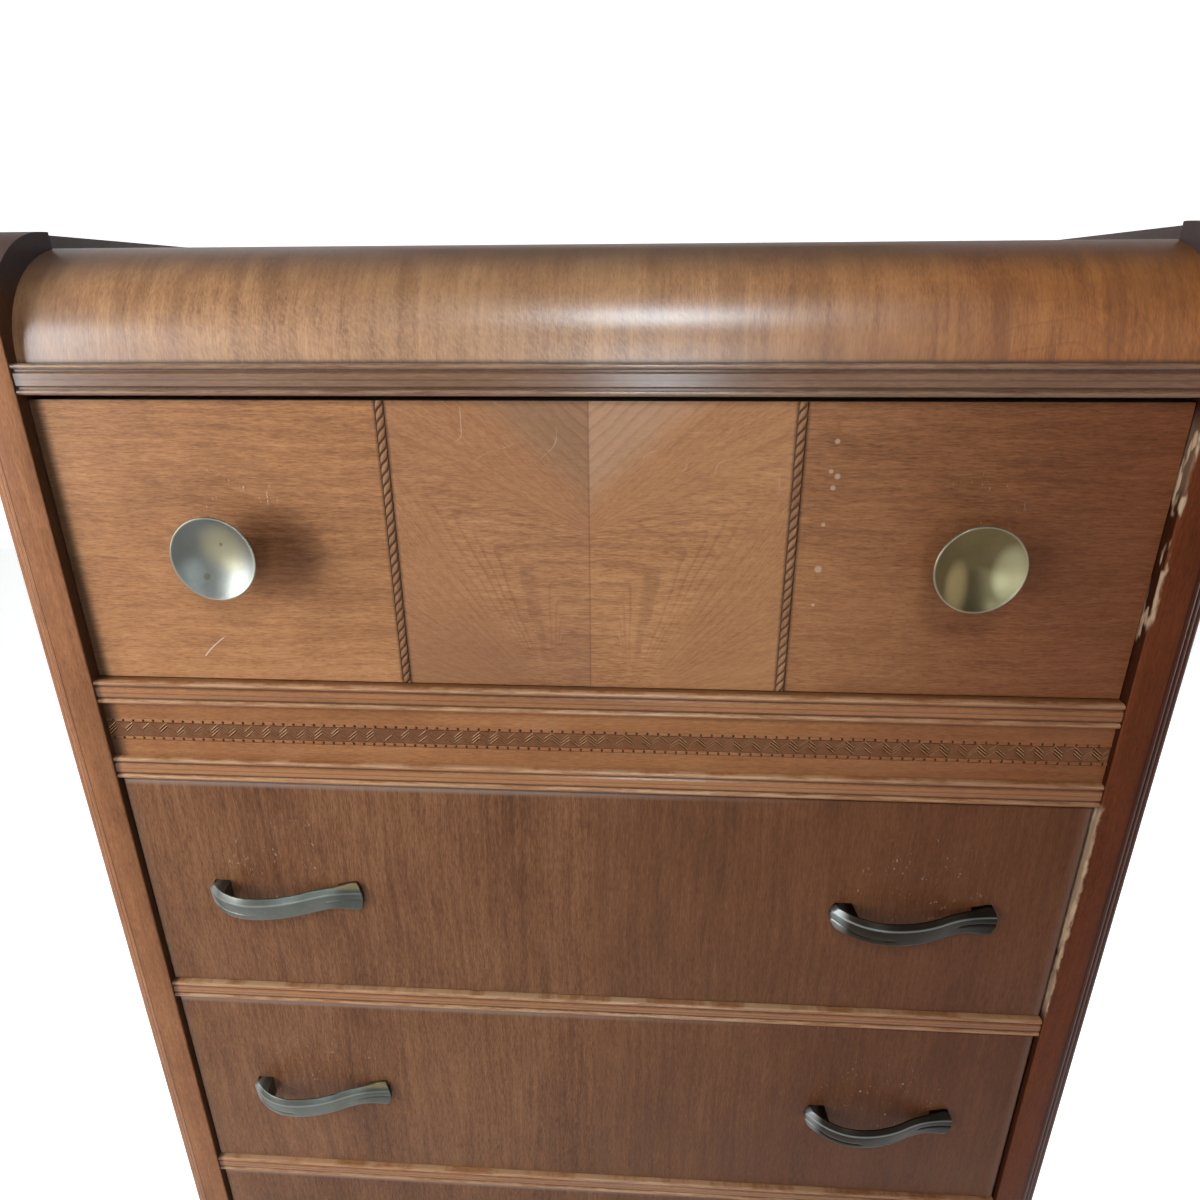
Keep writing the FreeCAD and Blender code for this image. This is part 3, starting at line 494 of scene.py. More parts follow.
def drawer_look(number):
    """Lower drawer front: two leaves of upright veneer that meet in the middle."""
    look = Look(f"drawer_{number}_veneer_look")
    low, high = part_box(f"drawer_{number}_front")
    pull_low, pull_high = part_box(f"drawer_{number}_left_pull")
    grain = Grain(look, look.x, look.z, look.y, 20.0 + number * 3, 0.016)
    look.colour = wood(look, grain, DARK_BROWN, 0.9, 0.95, 1.1, 0.4, 0.6)
    half = look.step(look.x, -0.3 * MM, 0.3 * MM)
    look.lay(half * 0.3, RIGHT_HALF)
    # Painted shade towards the right, where the light falls off
    shade_right_falloff(look, -0.1, high.x, "drawer")
    scuff_z = (pull_low.z + pull_high.z) / 2 + 0.02
    near_pull = look.disc(-PULL_X, scuff_z, 0.06) + look.disc(PULL_X, scuff_z, 0.06)
    scuff(look, near_pull)
    # Paler edges: wear at the sides, and a painted highlight on the rounded top edge
    edge_x = look.step(abs(look.x), high.x - 9 * MM, high.x - 1 * MM)
    edge_z = look.step(look.z, high.z - 6 * MM, high.z - 2 * MM) * look.step(look.x, 0.2, -0.1)
    look.lay(edge_x * 0.25 + edge_z * 0.7, EDGE_WEAR_AND_HIGHLIGHT)
    return lacquer(look, grain, 0.44, relief=0.06 * MM, shine=0.08)


def post_look(side):
    """Front post: upright grain, grime and painted shade between reeds, painted shade on the inner face
    and top; the right one with painted shade towards its front and on its outer reeds, its inner arris
    worn bare.
    """
    look = Look(f"front_post_look_{side}")
    grain = Grain(look, look.x, look.z, look.y, 31.0 + side, 0.01)
    look.colour = wood(look, grain, RED_BROWN, 0.7, 0.7, 0.7, 0.35, 0.45)
    out = abs(look.x) - POST_LOW.x
    reed = look.math("FRACT", (out - POST_FLAT) / REED_PITCH)
    fall = look.step(look.y, POST_FRONT + 14 * MM, POST_FRONT + 11 * MM)
    reeds = look.step(out, POST_FLAT - 1.5 * MM, POST_FLAT) * fall
    # Grime and painted shade in the grooves between the reeds
    groove = look.step(abs(reed - 0.5), 0.36, 0.5) * reeds
    look.lay(groove * 0.7, darker(GRIME_AND_SHADE, 1.5))
    # Painted shade on the inner face, which faces away from the light
    inner_face = look.step(out, 0.6 * MM, 0.1 * MM)
    look.lay(inner_face * 0.75, GRIME_AND_SHADE)
    # Painted shade on the top of the post
    crown = look.step(look.z, ROLL_HIGH.z - 35 * MM, ROLL_HIGH.z - 10 * MM)
    look.lay(crown * 0.85, TOP_SHADE)
    if side > 0:
        # Painted shade on the right post, darker towards its front where the light falls off
        near_front = look.step(look.y, POST_FRONT + 36 * MM, POST_FRONT + 12 * MM)
        look.shade(near_front, POST_SHADE)
        # Painted shade on the outer reeds, which face away from the light
        outer_half = look.step(out, POST_FLAT - 4 * MM, POST_FLAT + 2 * MM)
        look.shade(outer_half * near_front, REED_SHADE)
        bare_wood = look.mix(grain.streak, PALE_WOOD, BARE_DARK)
        look.lay(worn_arris(look, out), bare_wood)
    return lacquer(look, grain, 0.5, shine=0.07)


def worn_arris(look, out):
    """Share of bare wood on the inner arris: two long stretches and some chips between them."""
    ragged = look.noise(look.x * 250, look.y * 250, look.z * 70, 3, 0.65)
    chips = look.step(look.noise(look.x * 160, look.y * 160, look.z * 42, 2), 0.5, 0.58)
    rail_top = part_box("upper_divider_rail")[1].z
    frieze_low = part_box("frieze_board")[0].z
    upper = look.step(look.z, KNOB_Z + 30 * MM, KNOB_Z + 50 * MM)
    upper = upper * look.step(look.z, TOP_LEAF_HIGH.z, TOP_LEAF_HIGH.z - 20 * MM)
    middle = chips * look.step(look.z, KNOB_Z - 70 * MM, KNOB_Z - 45 * MM)
    middle = middle * look.step(look.z, KNOB_Z + 50 * MM, KNOB_Z + 30 * MM)
    lower = look.step(look.z, rail_top, rail_top + 20 * MM)
    lower = lower * look.step(look.z, frieze_low + 6 * MM, frieze_low - 6 * MM)
    thinner = look.step(look.z, frieze_low - 80 * MM, frieze_low - 130 * MM)
    reach = out + (ragged - 0.5) * 6 * MM + thinner * 1.2 * MM
    front = look.step(reach, 2.8 * MM, 0.9 * MM)
    return (upper * (chips * 0.75 + 0.2) + middle * 0.8 + lower * (chips * 0.3 + 0.6)) * front * 0.9


# Bead on each edge of a reeded strip
BEAD = 3.6 * MM


def moulding_look(name, pale, worn, tones=FRIEZE_BROWN, rough=0.42, shine=0.12, coat=0.2):
    """Reeded strip: grain along it, grime and painted shade in the quirks, bead tops paler where the
    lacquer is rubbed off and where a highlight is painted.
    """
    look = Look(f"{name}_look")
    low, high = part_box(name)
    grain = Grain(look, look.z, look.x, look.y, 40.0 + low.z * 9, 0.004)
    look.colour = wood(look, grain, tones, 0.6, 0.8, 0.8, 0.3, 0.45)
    from_edge = look.math("MINIMUM", look.z - low.z, high.z - look.z)
    flat = look.step(from_edge, BEAD + 1.5 * MM, BEAD + 2.5 * MM)
    look.lay(flat * pale, tones[2])
    line = look.step(abs(look.z - (low.z + high.z) / 2), 0.7 * MM, 0.2 * MM) * flat
    look.lay(line * 0.35, GRIME_AND_SHADE)
    # Grime and painted shade in the quirks
    deep = look.step(look.y, low.y + 0.9 * MM, low.y + 1.4 * MM)
    quirk = look.step(abs(from_edge - BEAD - 0.6 * MM), 1.0 * MM, 0.4 * MM) * deep
    look.lay(quirk * 0.6, GRIME_AND_SHADE)
    # Bead tops paler: lacquer rubbed off, and a painted highlight on their upper part
    lower_bead = look.step(look.z - low.z, BEAD + 0.2 * MM, BEAD)
    lift = look.z - (high.z - BEAD) + lower_bead * (high.z - low.z - BEAD)
    crest = look.step(lift, 1.0 * MM, 2.2 * MM)
    wear_and_glint = look.step(look.noise(look.x * 30, 0.0, look.z * 500, 4, 0.7), 0.4, 0.58)
    look.lay(crest * (wear_and_glint * 0.85 + 0.15) * worn, WEAR_AND_HIGHLIGHT)
    # Painted shade under the strip
    underside = look.step(look.z, low.z + 0.5 * MM, low.z + 0.1 * MM)
    look.lay(underside * 0.9, GRIME_AND_SHADE)
    # Painted shade towards the right, where the light falls off
    shade_right_falloff(look, 0.05, high.x, "moulding")
    # Painted shadow of the left post
    look.lay(left_post_shadow(look, high.x, 6 * MM) * 0.7, GRIME_AND_SHADE)
    return lacquer(look, grain, rough, shine=shine, coat=coat, soft=0.2)


def walnut(look, across, along, deep, seed, wander):
    """Plain walnut of ends, rear posts and base rail."""
    grain = Grain(look, across, along, deep, seed, wander)
    look.colour = wood(look, grain, RED_BROWN, 1.0, 1.0, 0.7, 0.35, 0.45)
    return grain


def rear_post_look(name, side):
    look = Look(f"{name}_look")
    return lacquer(look, walnut(look, look.x + look.y, look.z, 0.0, 57.0 + side, 0.02), 0.38)


def base_rail_look():
    look = Look("base_rail_look")
    return lacquer(look, walnut(look, look.z, look.x, look.y, 56.0, 0.014), 0.38)


def end_look(name):
    """End panel: upright veneer, with painted shade on its upper edge and on the inner face above the
    roll.
    """
    look = Look(f"{name}_look")
    low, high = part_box(name)
    grain = walnut(look, look.x + look.y, look.z, 0.0, 52.0 + low.x, 0.02)
    outer = max(abs(low.x), abs(high.x))
    within = look.step(abs(look.x), outer - 0.4 * MM, outer - 0.8 * MM)
    # Painted shade on the upper edge and on the inner face above the roll
    crown = look.step(look.z, high.z - 30 * MM, high.z - 15 * MM) * within
    look.lay(crown * 0.85, TOP_SHADE)
    return lacquer(look, grain, 0.38)


def frieze_look():
    """Frieze board: grain along it, painted shade that darkens and reddens it to the right, painted
    shadow of the post in its left corner.
    """
    look = Look("frieze_look")
    low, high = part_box("frieze_board")
    grain = Grain(look, look.z, look.x, look.y, 55.0, 0.014)
    look.colour = wood(look, grain, FRIEZE_BROWN, 0.6, 0.6, 0.8, 0.3, 0.4)
    # Painted shade towards the right, where the light falls off
    shade_right_falloff(look, 0.05, high.x, "frieze")
    # Painted shadow of the left post
    look.lay(left_post_shadow(look, high.x, 13 * MM) * 0.8, GRIME_AND_SHADE)
    return lacquer(look, grain)


def band_look():
    """Embossed band: dark field and pressed lines, lighter borders, painted highlights on the edges of
    the strokes.
    """
    look = Look("embossed_band_look")
    low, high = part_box("frieze_band")
    grain = Grain(look, look.z, look.x, look.y, 61.0, 0.004)
    look.colour = wood(look, grain, FRIEZE_BROWN, 0.6, 0.6, 0.6, 0.3, 0.4)
    # Painted shade towards the right, where the light falls off
    shade_right_falloff(look, 0.05, high.x, "band")
    # Painted shadow of the left post
    look.lay(left_post_shadow(look, high.x, 13 * MM) * 0.8, GRIME_AND_SHADE)
    from_edge = look.math("MINIMUM", look.z - low.z, high.z - look.z)
    inside = look.step(from_edge, 2.8 * MM, 3.1 * MM)
    look.lay(inside * 0.75, BAND_DARK)
    # Painted highlight on the raised edges of the strokes
    ridge = look.step(look.y, low.y + BAND_FIELD - 0.06 * MM, low.y + BAND_FIELD - 0.24 * MM) * inside
    look.lay(ridge * 0.9, STROKE_HIGHLIGHT)
    pressed = look.step(look.y, low.y + BAND_FIELD + 0.08 * MM, low.y + BAND_FIELD + 0.4 * MM)
    look.lay(pressed * 0.92, GRIME_AND_SHADE)
    pit = look.step(look.y, low.y + 0.42 * MM, low.y + 0.6 * MM) * (1.0 - inside)
    look.lay(pit * 0.9, GRIME_AND_SHADE)
    return lacquer(look, grain)


def rope_look(side):
    """Rope strip: painted shade in the hollows between the strands, dark sunk borders."""
    look = Look(f"rope_look_{side}")
    low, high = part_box("drawer_1_right_rope_strip")
    grain = Grain(look, look.x, look.z, look.y, 70.0 + side, 0.002)
    look.colour = wood(look, grain, ROPE_BROWN, 0.8, 0.8, 0.6, 0.5, 0.4)
    # Painted shade in the hollows between the strands
    depth = look.step(look.y, low.y + 0.25 * MM, low.y + 1.0 * MM)
    look.lay(depth * 0.8, ROPE_HOLLOW_SHADE)
    middle = (low.x + high.x) / 2
    border = look.step(abs(abs(look.x) - middle), 2.35 * MM, 2.8 * MM)
    look.lay(border * 0.5, GRIME_AND_SHADE)
    return lacquer(look, grain)


# Looks of the wood inside and of the metal

PALE = ((0.36, 0.25, 0.14), (0.52, 0.38, 0.23), (0.64, 0.5, 0.33))
PLYWOOD = ((0.38, 0.25, 0.13), (0.53, 0.37, 0.2), (0.64, 0.48, 0.29))


def inside_look(name, tones, along, seed):
    """Bare wood of drawer boxes, runners and plywood."""
    look = Look(name)
    ways = {"x": (look.z, look.x, look.y), "y": (look.z, look.y, look.x), "z": (look.x, look.z, look.y)}
    grain = Grain(look, *ways[along], seed, 0.02)
    look.colour = wood(look, grain, tones, 1.0, 0.9, 0.5, 0.3, 0.35)
    return bare(look, grain)


def gap_look(name, seed, deep):
    """Bare wood with painted shade at the top, where it shows in the gap over the top drawer."""
    look = Look(f"{name}_look")
    low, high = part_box(name)
    grain = Grain(look, look.z, look.x, look.y, seed, 0.02)
    look.colour = wood(look, grain, PALE, 1.0, 0.9, 0.5, 0.3, 0.35)
    near = look.step(look.y, low.y + 30 * MM, low.y + 24 * MM)
    # Painted shade at the top, where the gap over the top drawer is dark
    shaded_top = near * look.step(look.z, high.z - deep, high.z - deep * 0.7)
    look.lay(shaded_top * 0.95, GAP_SHADE)
    return bare(look, grain)


def metal(name, seed):
    look = Look(name)
    look.set(Metallic=1.0)
    cloud = look.noise(look.x * 70 + seed, look.y * 70, look.z * 70, 4, 0.6)
    grit = look.noise(look.x * 1400, look.y * 1400, look.z * 1400, 2)
    return look, cloud, grit


# Tarnish of the left (-1) and the right (1) knob at its upper left, and a paler tone at its lower right
# that is a painted reflection
KNOB_TARNISH_AND_REFLECTION = {
    -1: ((0.1, 0.1, 0.088), (0.19, 0.19, 0.172)),
    1: ((0.105, 0.075, 0.033), (0.1, 0.08, 0.042)),
}
# Painted reflections on the knobs: place from the knob's middle, half width and half height in mm, colour
KNOB_REFLECTIONS = {
    -1: ((6, 6, 20, 20, (0.25, 0.215, 0.125)),),
    1: ((-11, -12, 9, 19, (0.36, 0.265, 0.125)), (19, -3, 12, 22, (0.34, 0.3, 0.17))),
}
KNOB_RIM = (0.3, 0.27, 0.2)
# Stains in the left knob: place from its middle and radius
KNOB_STAINS = ((-8.3 * MM, -12.7 * MM, 2.6 * MM), (3.4 * MM, 8 * MM, 1.5 * MM))
KNOB_STAIN = (0.1, 0.085, 0.045)


def brass_look(side):
    """Aged spun brass: grey on the left, brown on the right, turning marks round the dish."""
    look, cloud, grit = metal(f"knob_brass_look_{side}", 3.0 + side)
    middle_x = side * KNOB_X
    away_x = look.x - middle_x
    away_z = look.z - KNOB_Z
    around = look.math("SQRT", away_x * away_x + away_z * away_z)
    turned = look.noise(around * 3500, 0.0, 11.0 + side, 2)
    tarnish, reflection_tone = KNOB_TARNISH_AND_REFLECTION[side]
    # Paler towards the lower right: a painted reflection over the tarnish
    look.colour = look.mix(look.step(away_x - away_z, -26 * MM, 30 * MM), tarnish, reflection_tone)
    look.lay(look.step(cloud, 0.3, 0.7) * 0.35, darker(tarnish, 0.7))
    # Painted reflections on the dish
    for across, up, wide, tall, wear_and_glint in KNOB_REFLECTIONS[side]:
        patch = look.spot(middle_x + across * MM, KNOB_Z + up * MM, wide * MM, tall * MM)
        look.lay(patch * 0.65, wear_and_glint)
    rim = look.step(around, 25.4 * MM, 26.2 * MM)
    look.lay(rim * 0.5, KNOB_RIM)
    if side < 0:
        for across, up, radius in KNOB_STAINS:
            spot = look.disc(middle_x + across, KNOB_Z + up, radius)
            look.lay(spot * 0.7, KNOB_STAIN)
    look.set(Anisotropic=0.15 if side < 0 else 0.6, Anisotropic_Rotation=0.25)
    look.set(Tangent=look.add("ShaderNodeTangent", {}, direction_type="RADIAL", axis="Y"))
    rough = 0.4 + (cloud - 0.5) * 0.12 + (turned - 0.5) * 0.08
    return look.finish(rough, turned + grit * 0.3, 0.01 * MM)


# Skin of the left (-1) and the right (1) pulls, and how bright their heels are rubbed
BRONZE_SKIN = {-1: (0.1, 0.101, 0.086), 1: (0.02, 0.015, 0.01)}
HEEL_SHARE = {-1: 0.7, 1: 0.35}
HEEL_RUBBED = (0.4, 0.42, 0.41)
# Pale of rubbing and of a painted highlight along the ridge of the pulls
RIDGE_WEAR_AND_HIGHLIGHT = (0.24, 0.25, 0.23)
FOOT_SHADE = (0.6, 0.6, 0.6)
FOOT_BRASS = (0.26, 0.19, 0.085)


def bronze_look(name, side):
    """Dark cast bronze, paler along its ridge from rubbing and a painted highlight; the left pulls have a
    greyer skin and a brassy foot.
    """
    look, cloud, grit = metal(f"{name}_look", 17.0 + side)
    low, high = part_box(name)
    skin = BRONZE_SKIN[side]
    look.colour = look.mix(look.step(cloud, 0.3, 0.7) * 0.4, skin, darker(skin, 0.6))
    # Paler along the ridge: rubbed, and a painted highlight
    ridge_z = (low.z + high.z) / 2 + PULL_RIDGE * PULL_MIDDLE * MM
    ridge = look.step(abs(look.z - ridge_z), 1.1 * MM, 0.3 * MM)
    look.lay(ridge * 0.5, RIDGE_WEAR_AND_HIGHLIGHT)
    foot = look.step(look.x, high.x - 32 * MM, high.x - 14 * MM)
    look.shade(foot, FOOT_SHADE)
    if side < 0:
        top = look.step(look.z, high.z - 6 * MM, high.z - 3 * MM)
        look.lay(foot * top * 0.5, FOOT_BRASS)
    heel = look.step(look.x, low.x + 13 * MM, low.x + 4 * MM)
    look.lay(heel * HEEL_SHARE[side], HEEL_RUBBED)
    return look.finish(0.4 + (cloud - 0.5) * 0.2, grit + cloud, 0.02 * MM)


STEEL = (0.55, 0.55, 0.56)
RUST = (0.3, 0.24, 0.18)


def steel_look():
    look, cloud, grit = metal("screw_steel_look", 5.0)
    look.colour = look.mix(look.step(cloud, 0.4, 0.65) * 0.6, STEEL, RUST)
    return look.finish(0.4 + (grit - 0.5) * 0.3, grit, 0.03 * MM)


# Pieces with more relief than the frame has

def add_piece(node, solid, look, sharp):
    """A mesh that stands for one node of the frame: same place, same body."""
    name = f"{node}_detail"
    mesh = bpy.data.meshes.new(name)
    mesh.from_pydata(solid.points, [], solid.faces)
    mesh.materials.append(look.material)
    for polygon in mesh.polygons:
        polygon.use_smooth = True
    mesh.set_sharp_from_angle(angle=math.radians(sharp))
    piece = add_object(name, mesh)
    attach(piece, BODY_OF[node])
    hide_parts(node)


class Solid:
    """Points and faces of a piece, collected part by part."""

    def __init__(self):
        self.points = []
        self.faces = []

    def grid(self, rows, wrap=0):
        """Rows of points joined one to the next; wrap 1 joins the ends of each row too."""
        start = len(self.points)
        wide = len(rows[0])
        for row in rows:
            self.points.extend(row)
        for r in range(len(rows) - 1):
            for c in range(wide - 1 + wrap):
                a = start + r * wide + c
                b = start + r * wide + (c + 1) % wide
                self.faces.append((a, b, b + wide, a + wide))
        return start, len(self.points), wide

    def slab(self, rows, back_y):
        """Relief on a strip: rows of points from one edge to the other, closed at the back."""
        start, rear, wide = self.grid(rows)
        for row in (rows[0], rows[-1]):
            self.points.extend((x, back_y, z) for x, y, z in row)
        last = rear - wide
        for c in range(wide - 1):
            low, top = rear + c, rear + wide + c
            self.faces.append((low + 1, low, top, top + 1))
            self.faces.append((start + c + 1, start + c, low, low + 1))
            self.faces.append((last + c, last + c + 1, top + 1, top))
        near = range(start, rear, wide)
        self.faces.append((*near, rear + wide, rear))
        far = range(rear - 1, start, -wide)
        self.faces.append((*far, rear + wide - 1, rear + 2 * wide - 1))

    def tube(self, rings):
        """Closed rings of points joined one to the next, with both ends closed."""
        start, end, count = self.grid(rings, 1)
        self.faces.append(tuple(range(start + count - 1, start - 1, -1)))
        self.faces.append(tuple(range(end - count, end)))


def spread(first, last, count):
    return [first + (last - first) * i / (count - 1) for i in range(count)]


def smooth(value, low, high):
    share = min(max((value - low) / (high - low), 0.0), 1.0)
    return share * share * (3 - 2 * share)


def arc_radius(run, rise):
    """Radius of an arc that sets out level and rises over a run."""
    return (run ** 2 + rise ** 2) / (2 * rise)


def arc(centre, radius, first, last, count):
    return [
        (centre[0] + radius * math.cos(math.radians(a)), centre[1] + radius * math.sin(math.radians(a)))
        for a in spread(first, last, count)
    ]


KNOB_SEGMENTS = 96
KNOB_DISH = 7 * MM
KNOB_LIP = 0.7 * MM
# Neck and back of the knob in millimetres: radius, distance from the drawer
KNOB_NECK = (
    (7.4, 2.5), (6.6, 4), (5.9, 7), (5.5, 11), (5.5, 14),
    (6.2, 17), (8.2, 19.2), (13, 21.2), (19, 23.4), (24, 25.4),
)


def knob_piece(name, side):
    """Spun knob: turned collar, waisted neck, thin dish with a rolled rim and a hollow face."""
    low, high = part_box(name)
    middle_x, middle_z = (low.x + high.x) / 2, (low.z + high.z) / 2
    radius = (high.x - low.x) / 2
    reach = high.y - low.y
    mouth = radius - 2 * KNOB_LIP
    bowl = arc_radius(mouth, KNOB_DISH)
    floor = reach - 0.25 * MM - KNOB_DISH
    profile = [(0.5 * MM, 0.0), (8.6 * MM, 0.0)]
    profile += arc((8.4 * MM, 1.4 * MM), 0.6 * MM, -60, 60, 5)
    profile += [(wide * MM, out * MM) for wide, out in KNOB_NECK]
    profile += arc((radius - KNOB_LIP, reach - KNOB_LIP), KNOB_LIP, -40, 130, 8)
    turns = spread(math.asin(mouth / bowl), 0.012, 26)
    profile += [(bowl * math.sin(turn), floor + bowl - bowl * math.cos(turn)) for turn in turns]
    circle = spread(0, 2 * math.pi * (1 - 1 / KNOB_SEGMENTS), KNOB_SEGMENTS)
    solid = Solid()
    solid.tube([
        [(middle_x + wide * math.cos(a), high.y - out, middle_z + wide * math.sin(a)) for a in circle]
        for wide, out in profile
    ])
    add_piece(name, solid, brass_look(side), 50.0)


# Strap pull, millimetres from its middle and from the drawer face; radii of its steep and gentle bends
PULL_HALF = (PULL_HIGH.x - PULL_LOW.x) / 2 / MM
PULL_STANDOFF = (PULL_HIGH.y - PULL_LOW.y) / MM
PULL_FLARE = (PULL_HIGH.z - PULL_LOW.z) / 2 / MM
PULL_CREST = -20.0
PULL_TOE = 3.0
PULL_FOOT = 4.6
PULL_FOOT_START = PULL_HALF - 16.0
PULL_STRAP = 3.4
PULL_HEEL_END = 16.0 - PULL_HALF
PULL_MIDDLE = 9.25
PULL_RIDGE = 0.5
PULL_BULGE = 4.0
PULL_FLARE_START = PULL_HALF - 26.0
PULL_RUN = PULL_HALF - PULL_CREST
FLARE_RADIUS = arc_radius(26.0 - PULL_BULGE, PULL_FLARE - PULL_MIDDLE)
STEEP = arc_radius(PULL_HALF + PULL_CREST, PULL_STANDOFF - PULL_TOE)
GENTLE = arc_radius(PULL_RUN / 2, (PULL_STANDOFF - PULL_FOOT) / 2)


def pull_line(x):
    """Outer face of the strap in plan at x: distance from the drawer, outward direction."""
    if x < PULL_CREST:
        centre_x, centre_out, radius = PULL_CREST, PULL_STANDOFF - STEEP, STEEP
    elif x < PULL_CREST + PULL_RUN / 2:
        centre_x, centre_out, radius = PULL_CREST, PULL_STANDOFF - GENTLE, GENTLE
    else:
        centre_x, centre_out, radius = PULL_HALF, PULL_FOOT + GENTLE, -GENTLE
    rise = math.sqrt(radius * radius - (x - centre_x) ** 2)
    out = centre_out + math.copysign(rise, radius)
    return out, ((x - centre_x) / radius, math.copysign(rise, radius) / radius)


def pull_section(x):
    """Half height of the strap, height of its carved line and depth of that line at x."""
    run = min(max(x, PULL_FLARE_START), PULL_HALF - PULL_BULGE) - PULL_FLARE_START
    half = PULL_MIDDLE + FLARE_RADIUS - math.sqrt(FLARE_RADIUS ** 2 - run * run)
    heel_line = -0.2 - 0.25 * smooth(x, -58.0, -40.0)
    line = heel_line + 0.35 * smooth(x, -10.0, 30.0)
    depth = 0.75 * smooth(x, -15.0, -21.0) + 0.6 * smooth(x, 29.0, 34.0)
    return half, line, depth


def pull_ring(x, drop=0.0):
    """One section of the strap. Drop 1 carries the end of the heel down to the drawer face."""
    half, line, depth = pull_section(x)
    ring = []
    for up, inward, carve in pull_shape(line):
        z = up * half
        lean = up * up
        place = x + PULL_BULGE * lean * smooth(x, PULL_FLARE_START - 75.0, -PULL_HALF)
        place -= PULL_BULGE * lean * smooth(x, 20.0, PULL_HALF)
        out, (side_x, side_out) = pull_line(place)
        into = inward * PULL_STRAP + carve * depth
        px = place - side_x * into
        py = max(out - side_out * into, 0.0)
        if inward > 0.85 and not PULL_HEEL_END < x < PULL_FOOT_START:
            px, py = place, 0.0
        ring.append((px, py * (1 - drop), z))
    return ring


def pull_shape(line):
    """Points round the strap: shares of half height, of thickness inward and of the carved line.

    The front swells from the lower edge to a ridge; a sloping facet leads from the ridge to the top.
    """
    def swell(up):
        return 0.3 * ((PULL_RIDGE - up) / (1 + PULL_RIDGE)) ** 2

    front = [(up, swell(up), 0.0) for up in spread(-0.9, line - 0.16, 5)]
    carved = ((-0.09, 0.35), (-0.02, 1.0), (0.06, 0.25))
    front += [(line + step, swell(line + step), cut) for step, cut in carved]
    front += [(up, swell(up), 0.0) for up in spread(line + 0.13, PULL_RIDGE - 0.05, 4)]
    rest = [(PULL_RIDGE, 0.02), (PULL_RIDGE + 0.06, 0.08), (0.75, 0.36), (0.93, 0.6)]
    rest += [(0.985, 0.7), (1.0, 0.78), (1.0, 0.9), (0.985, 0.97), (0.94, 1.0)]
    rest += [(0.5, 1.0), (0.0, 1.0), (-0.5, 1.0), (-0.94, 1.0)]
    rest += [(-0.985, 0.95), (-1.0, 0.85), (-1.0, 0.5), (-0.985, 0.38)]
    return front + [(up, inward, 0.0) for up, inward in rest]


def pull_piece(name, side):
    """Cast strap pull: a wave in plan, carved lines from both ends, solid heel and flared foot."""
    low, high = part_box(name)
    middle_x, middle_z = (low.x + high.x) / 2, (low.z + high.z) / 2
    stations = spread(-PULL_HALF, PULL_HEEL_END, 15) + spread(PULL_HEEL_END + 0.05, 26.0, 42)
    stations += spread(27.0, PULL_FOOT_START - 0.05, 14) + spread(PULL_FOOT_START, PULL_HALF, 14)
    rings = [pull_ring(-PULL_HALF, 1.0)]
    rings += [pull_ring(x) for x in stations]
    solid = Solid()
    solid.tube([
        [(middle_x + x * MM, high.y - out * MM, middle_z + z * MM) for x, out, z in ring]
        for ring in rings
    ])
    add_piece(name, solid, bronze_look(name, side), 40.0)


ROPE_PITCH = 6.6 * MM


def rope_piece(name, side):
    """Carved rope: strands that wind across a half-round strip between two sunk borders."""
    low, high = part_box(name)
    middle_x = (low.x + high.x) / 2
    half = (high.x - low.x) / 2
    core = half - 0.7 * MM
    relief = FACE_Y - low.y
    columns = spread(-1.0, 1.0, 19)
    rows = []
    count = int((high.z - low.z) / (0.4 * MM))
    for z in spread(low.z, high.z, count):
        row = [(middle_x - half, FACE_Y, z), (middle_x - half + 0.15 * MM, FACE_Y + 0.3 * MM, z)]
        for u in columns:
            turn = (z - low.z) / ROPE_PITCH - math.asin(u) / math.pi * 1.05
            away = turn - math.floor(turn) - 0.5
            strand = math.sqrt(max(0.0, 1 - (away / 0.43) ** 2))
            swell = math.sqrt(max(0.0, 1 - 0.86 * u * u))
            height = relief * swell * (0.16 + 0.84 * strand) - 0.25 * MM * (1 - strand)
            row.append((middle_x + u * core, FACE_Y - height, z))
        row += [(middle_x + half - 0.15 * MM, FACE_Y + 0.3 * MM, z), (middle_x + half, FACE_Y, z)]
        rows.append(row)
    solid = Solid()
    solid.slab(rows, high.y)
    add_piece(name, solid, rope_look(side), 75.0)


# Embossed band: its borders broken by pits and the zigzag between them, pitches and lines in millimetres
BORDER = 2.9 * MM
BEAD_PITCH = 7.3
PIT_EDGES = ((-0.9, 0.0), (-0.6, 1.0), (0.6, 1.0), (0.9, 0.0))
ZIGZAG_PITCH = 12.5
ZIGZAG_SWING = 2.7
ZIGZAG_LINES = (-2.3, 0.0, 2.3)
ZIGZAG_CUT = 0.6
PRESSED = (0.3, 0.7, 0.9, 1.0, 1.0)
INNER_EDGE = 3.1 * MM
BAND_FIELD = 0.55 * MM


def bead_border(solid, low, high, flat_y, back_y, left, right, shift):
    """A border of the band: a bead broken by small pits."""
    columns = [(left, 0.0)]
    pit = left + shift * MM
    while pit < right - 2 * MM:
        columns += [(pit + step * MM, share) for step, share in PIT_EDGES]
        pit += BEAD_PITCH * MM
    columns.append((right, 0.0))
    rows = []
    for level in spread(0.0, 1.0, 9):
        swell = math.sin(math.pi * min(max((level - 0.12) / 0.76, 0.0), 1.0)) ** 0.6
        edge_y = flat_y + (0.3 * MM if swell == 0.0 else 0.0)
        z = low + (high - low) * level
        rows.append([(x, edge_y - (0.4 - 0.75 * share) * MM * swell, z) for x, share in columns])
    solid.slab(rows, back_y)


def stroke_share(place, rising):
    """How deep a stroke is pressed: rising ones at the left end, falling ones at the right end."""
    share = smooth(place, 0.62, 0.38) if rising else smooth(place, 0.38, 0.62)
    return 0.45 + 0.55 * share


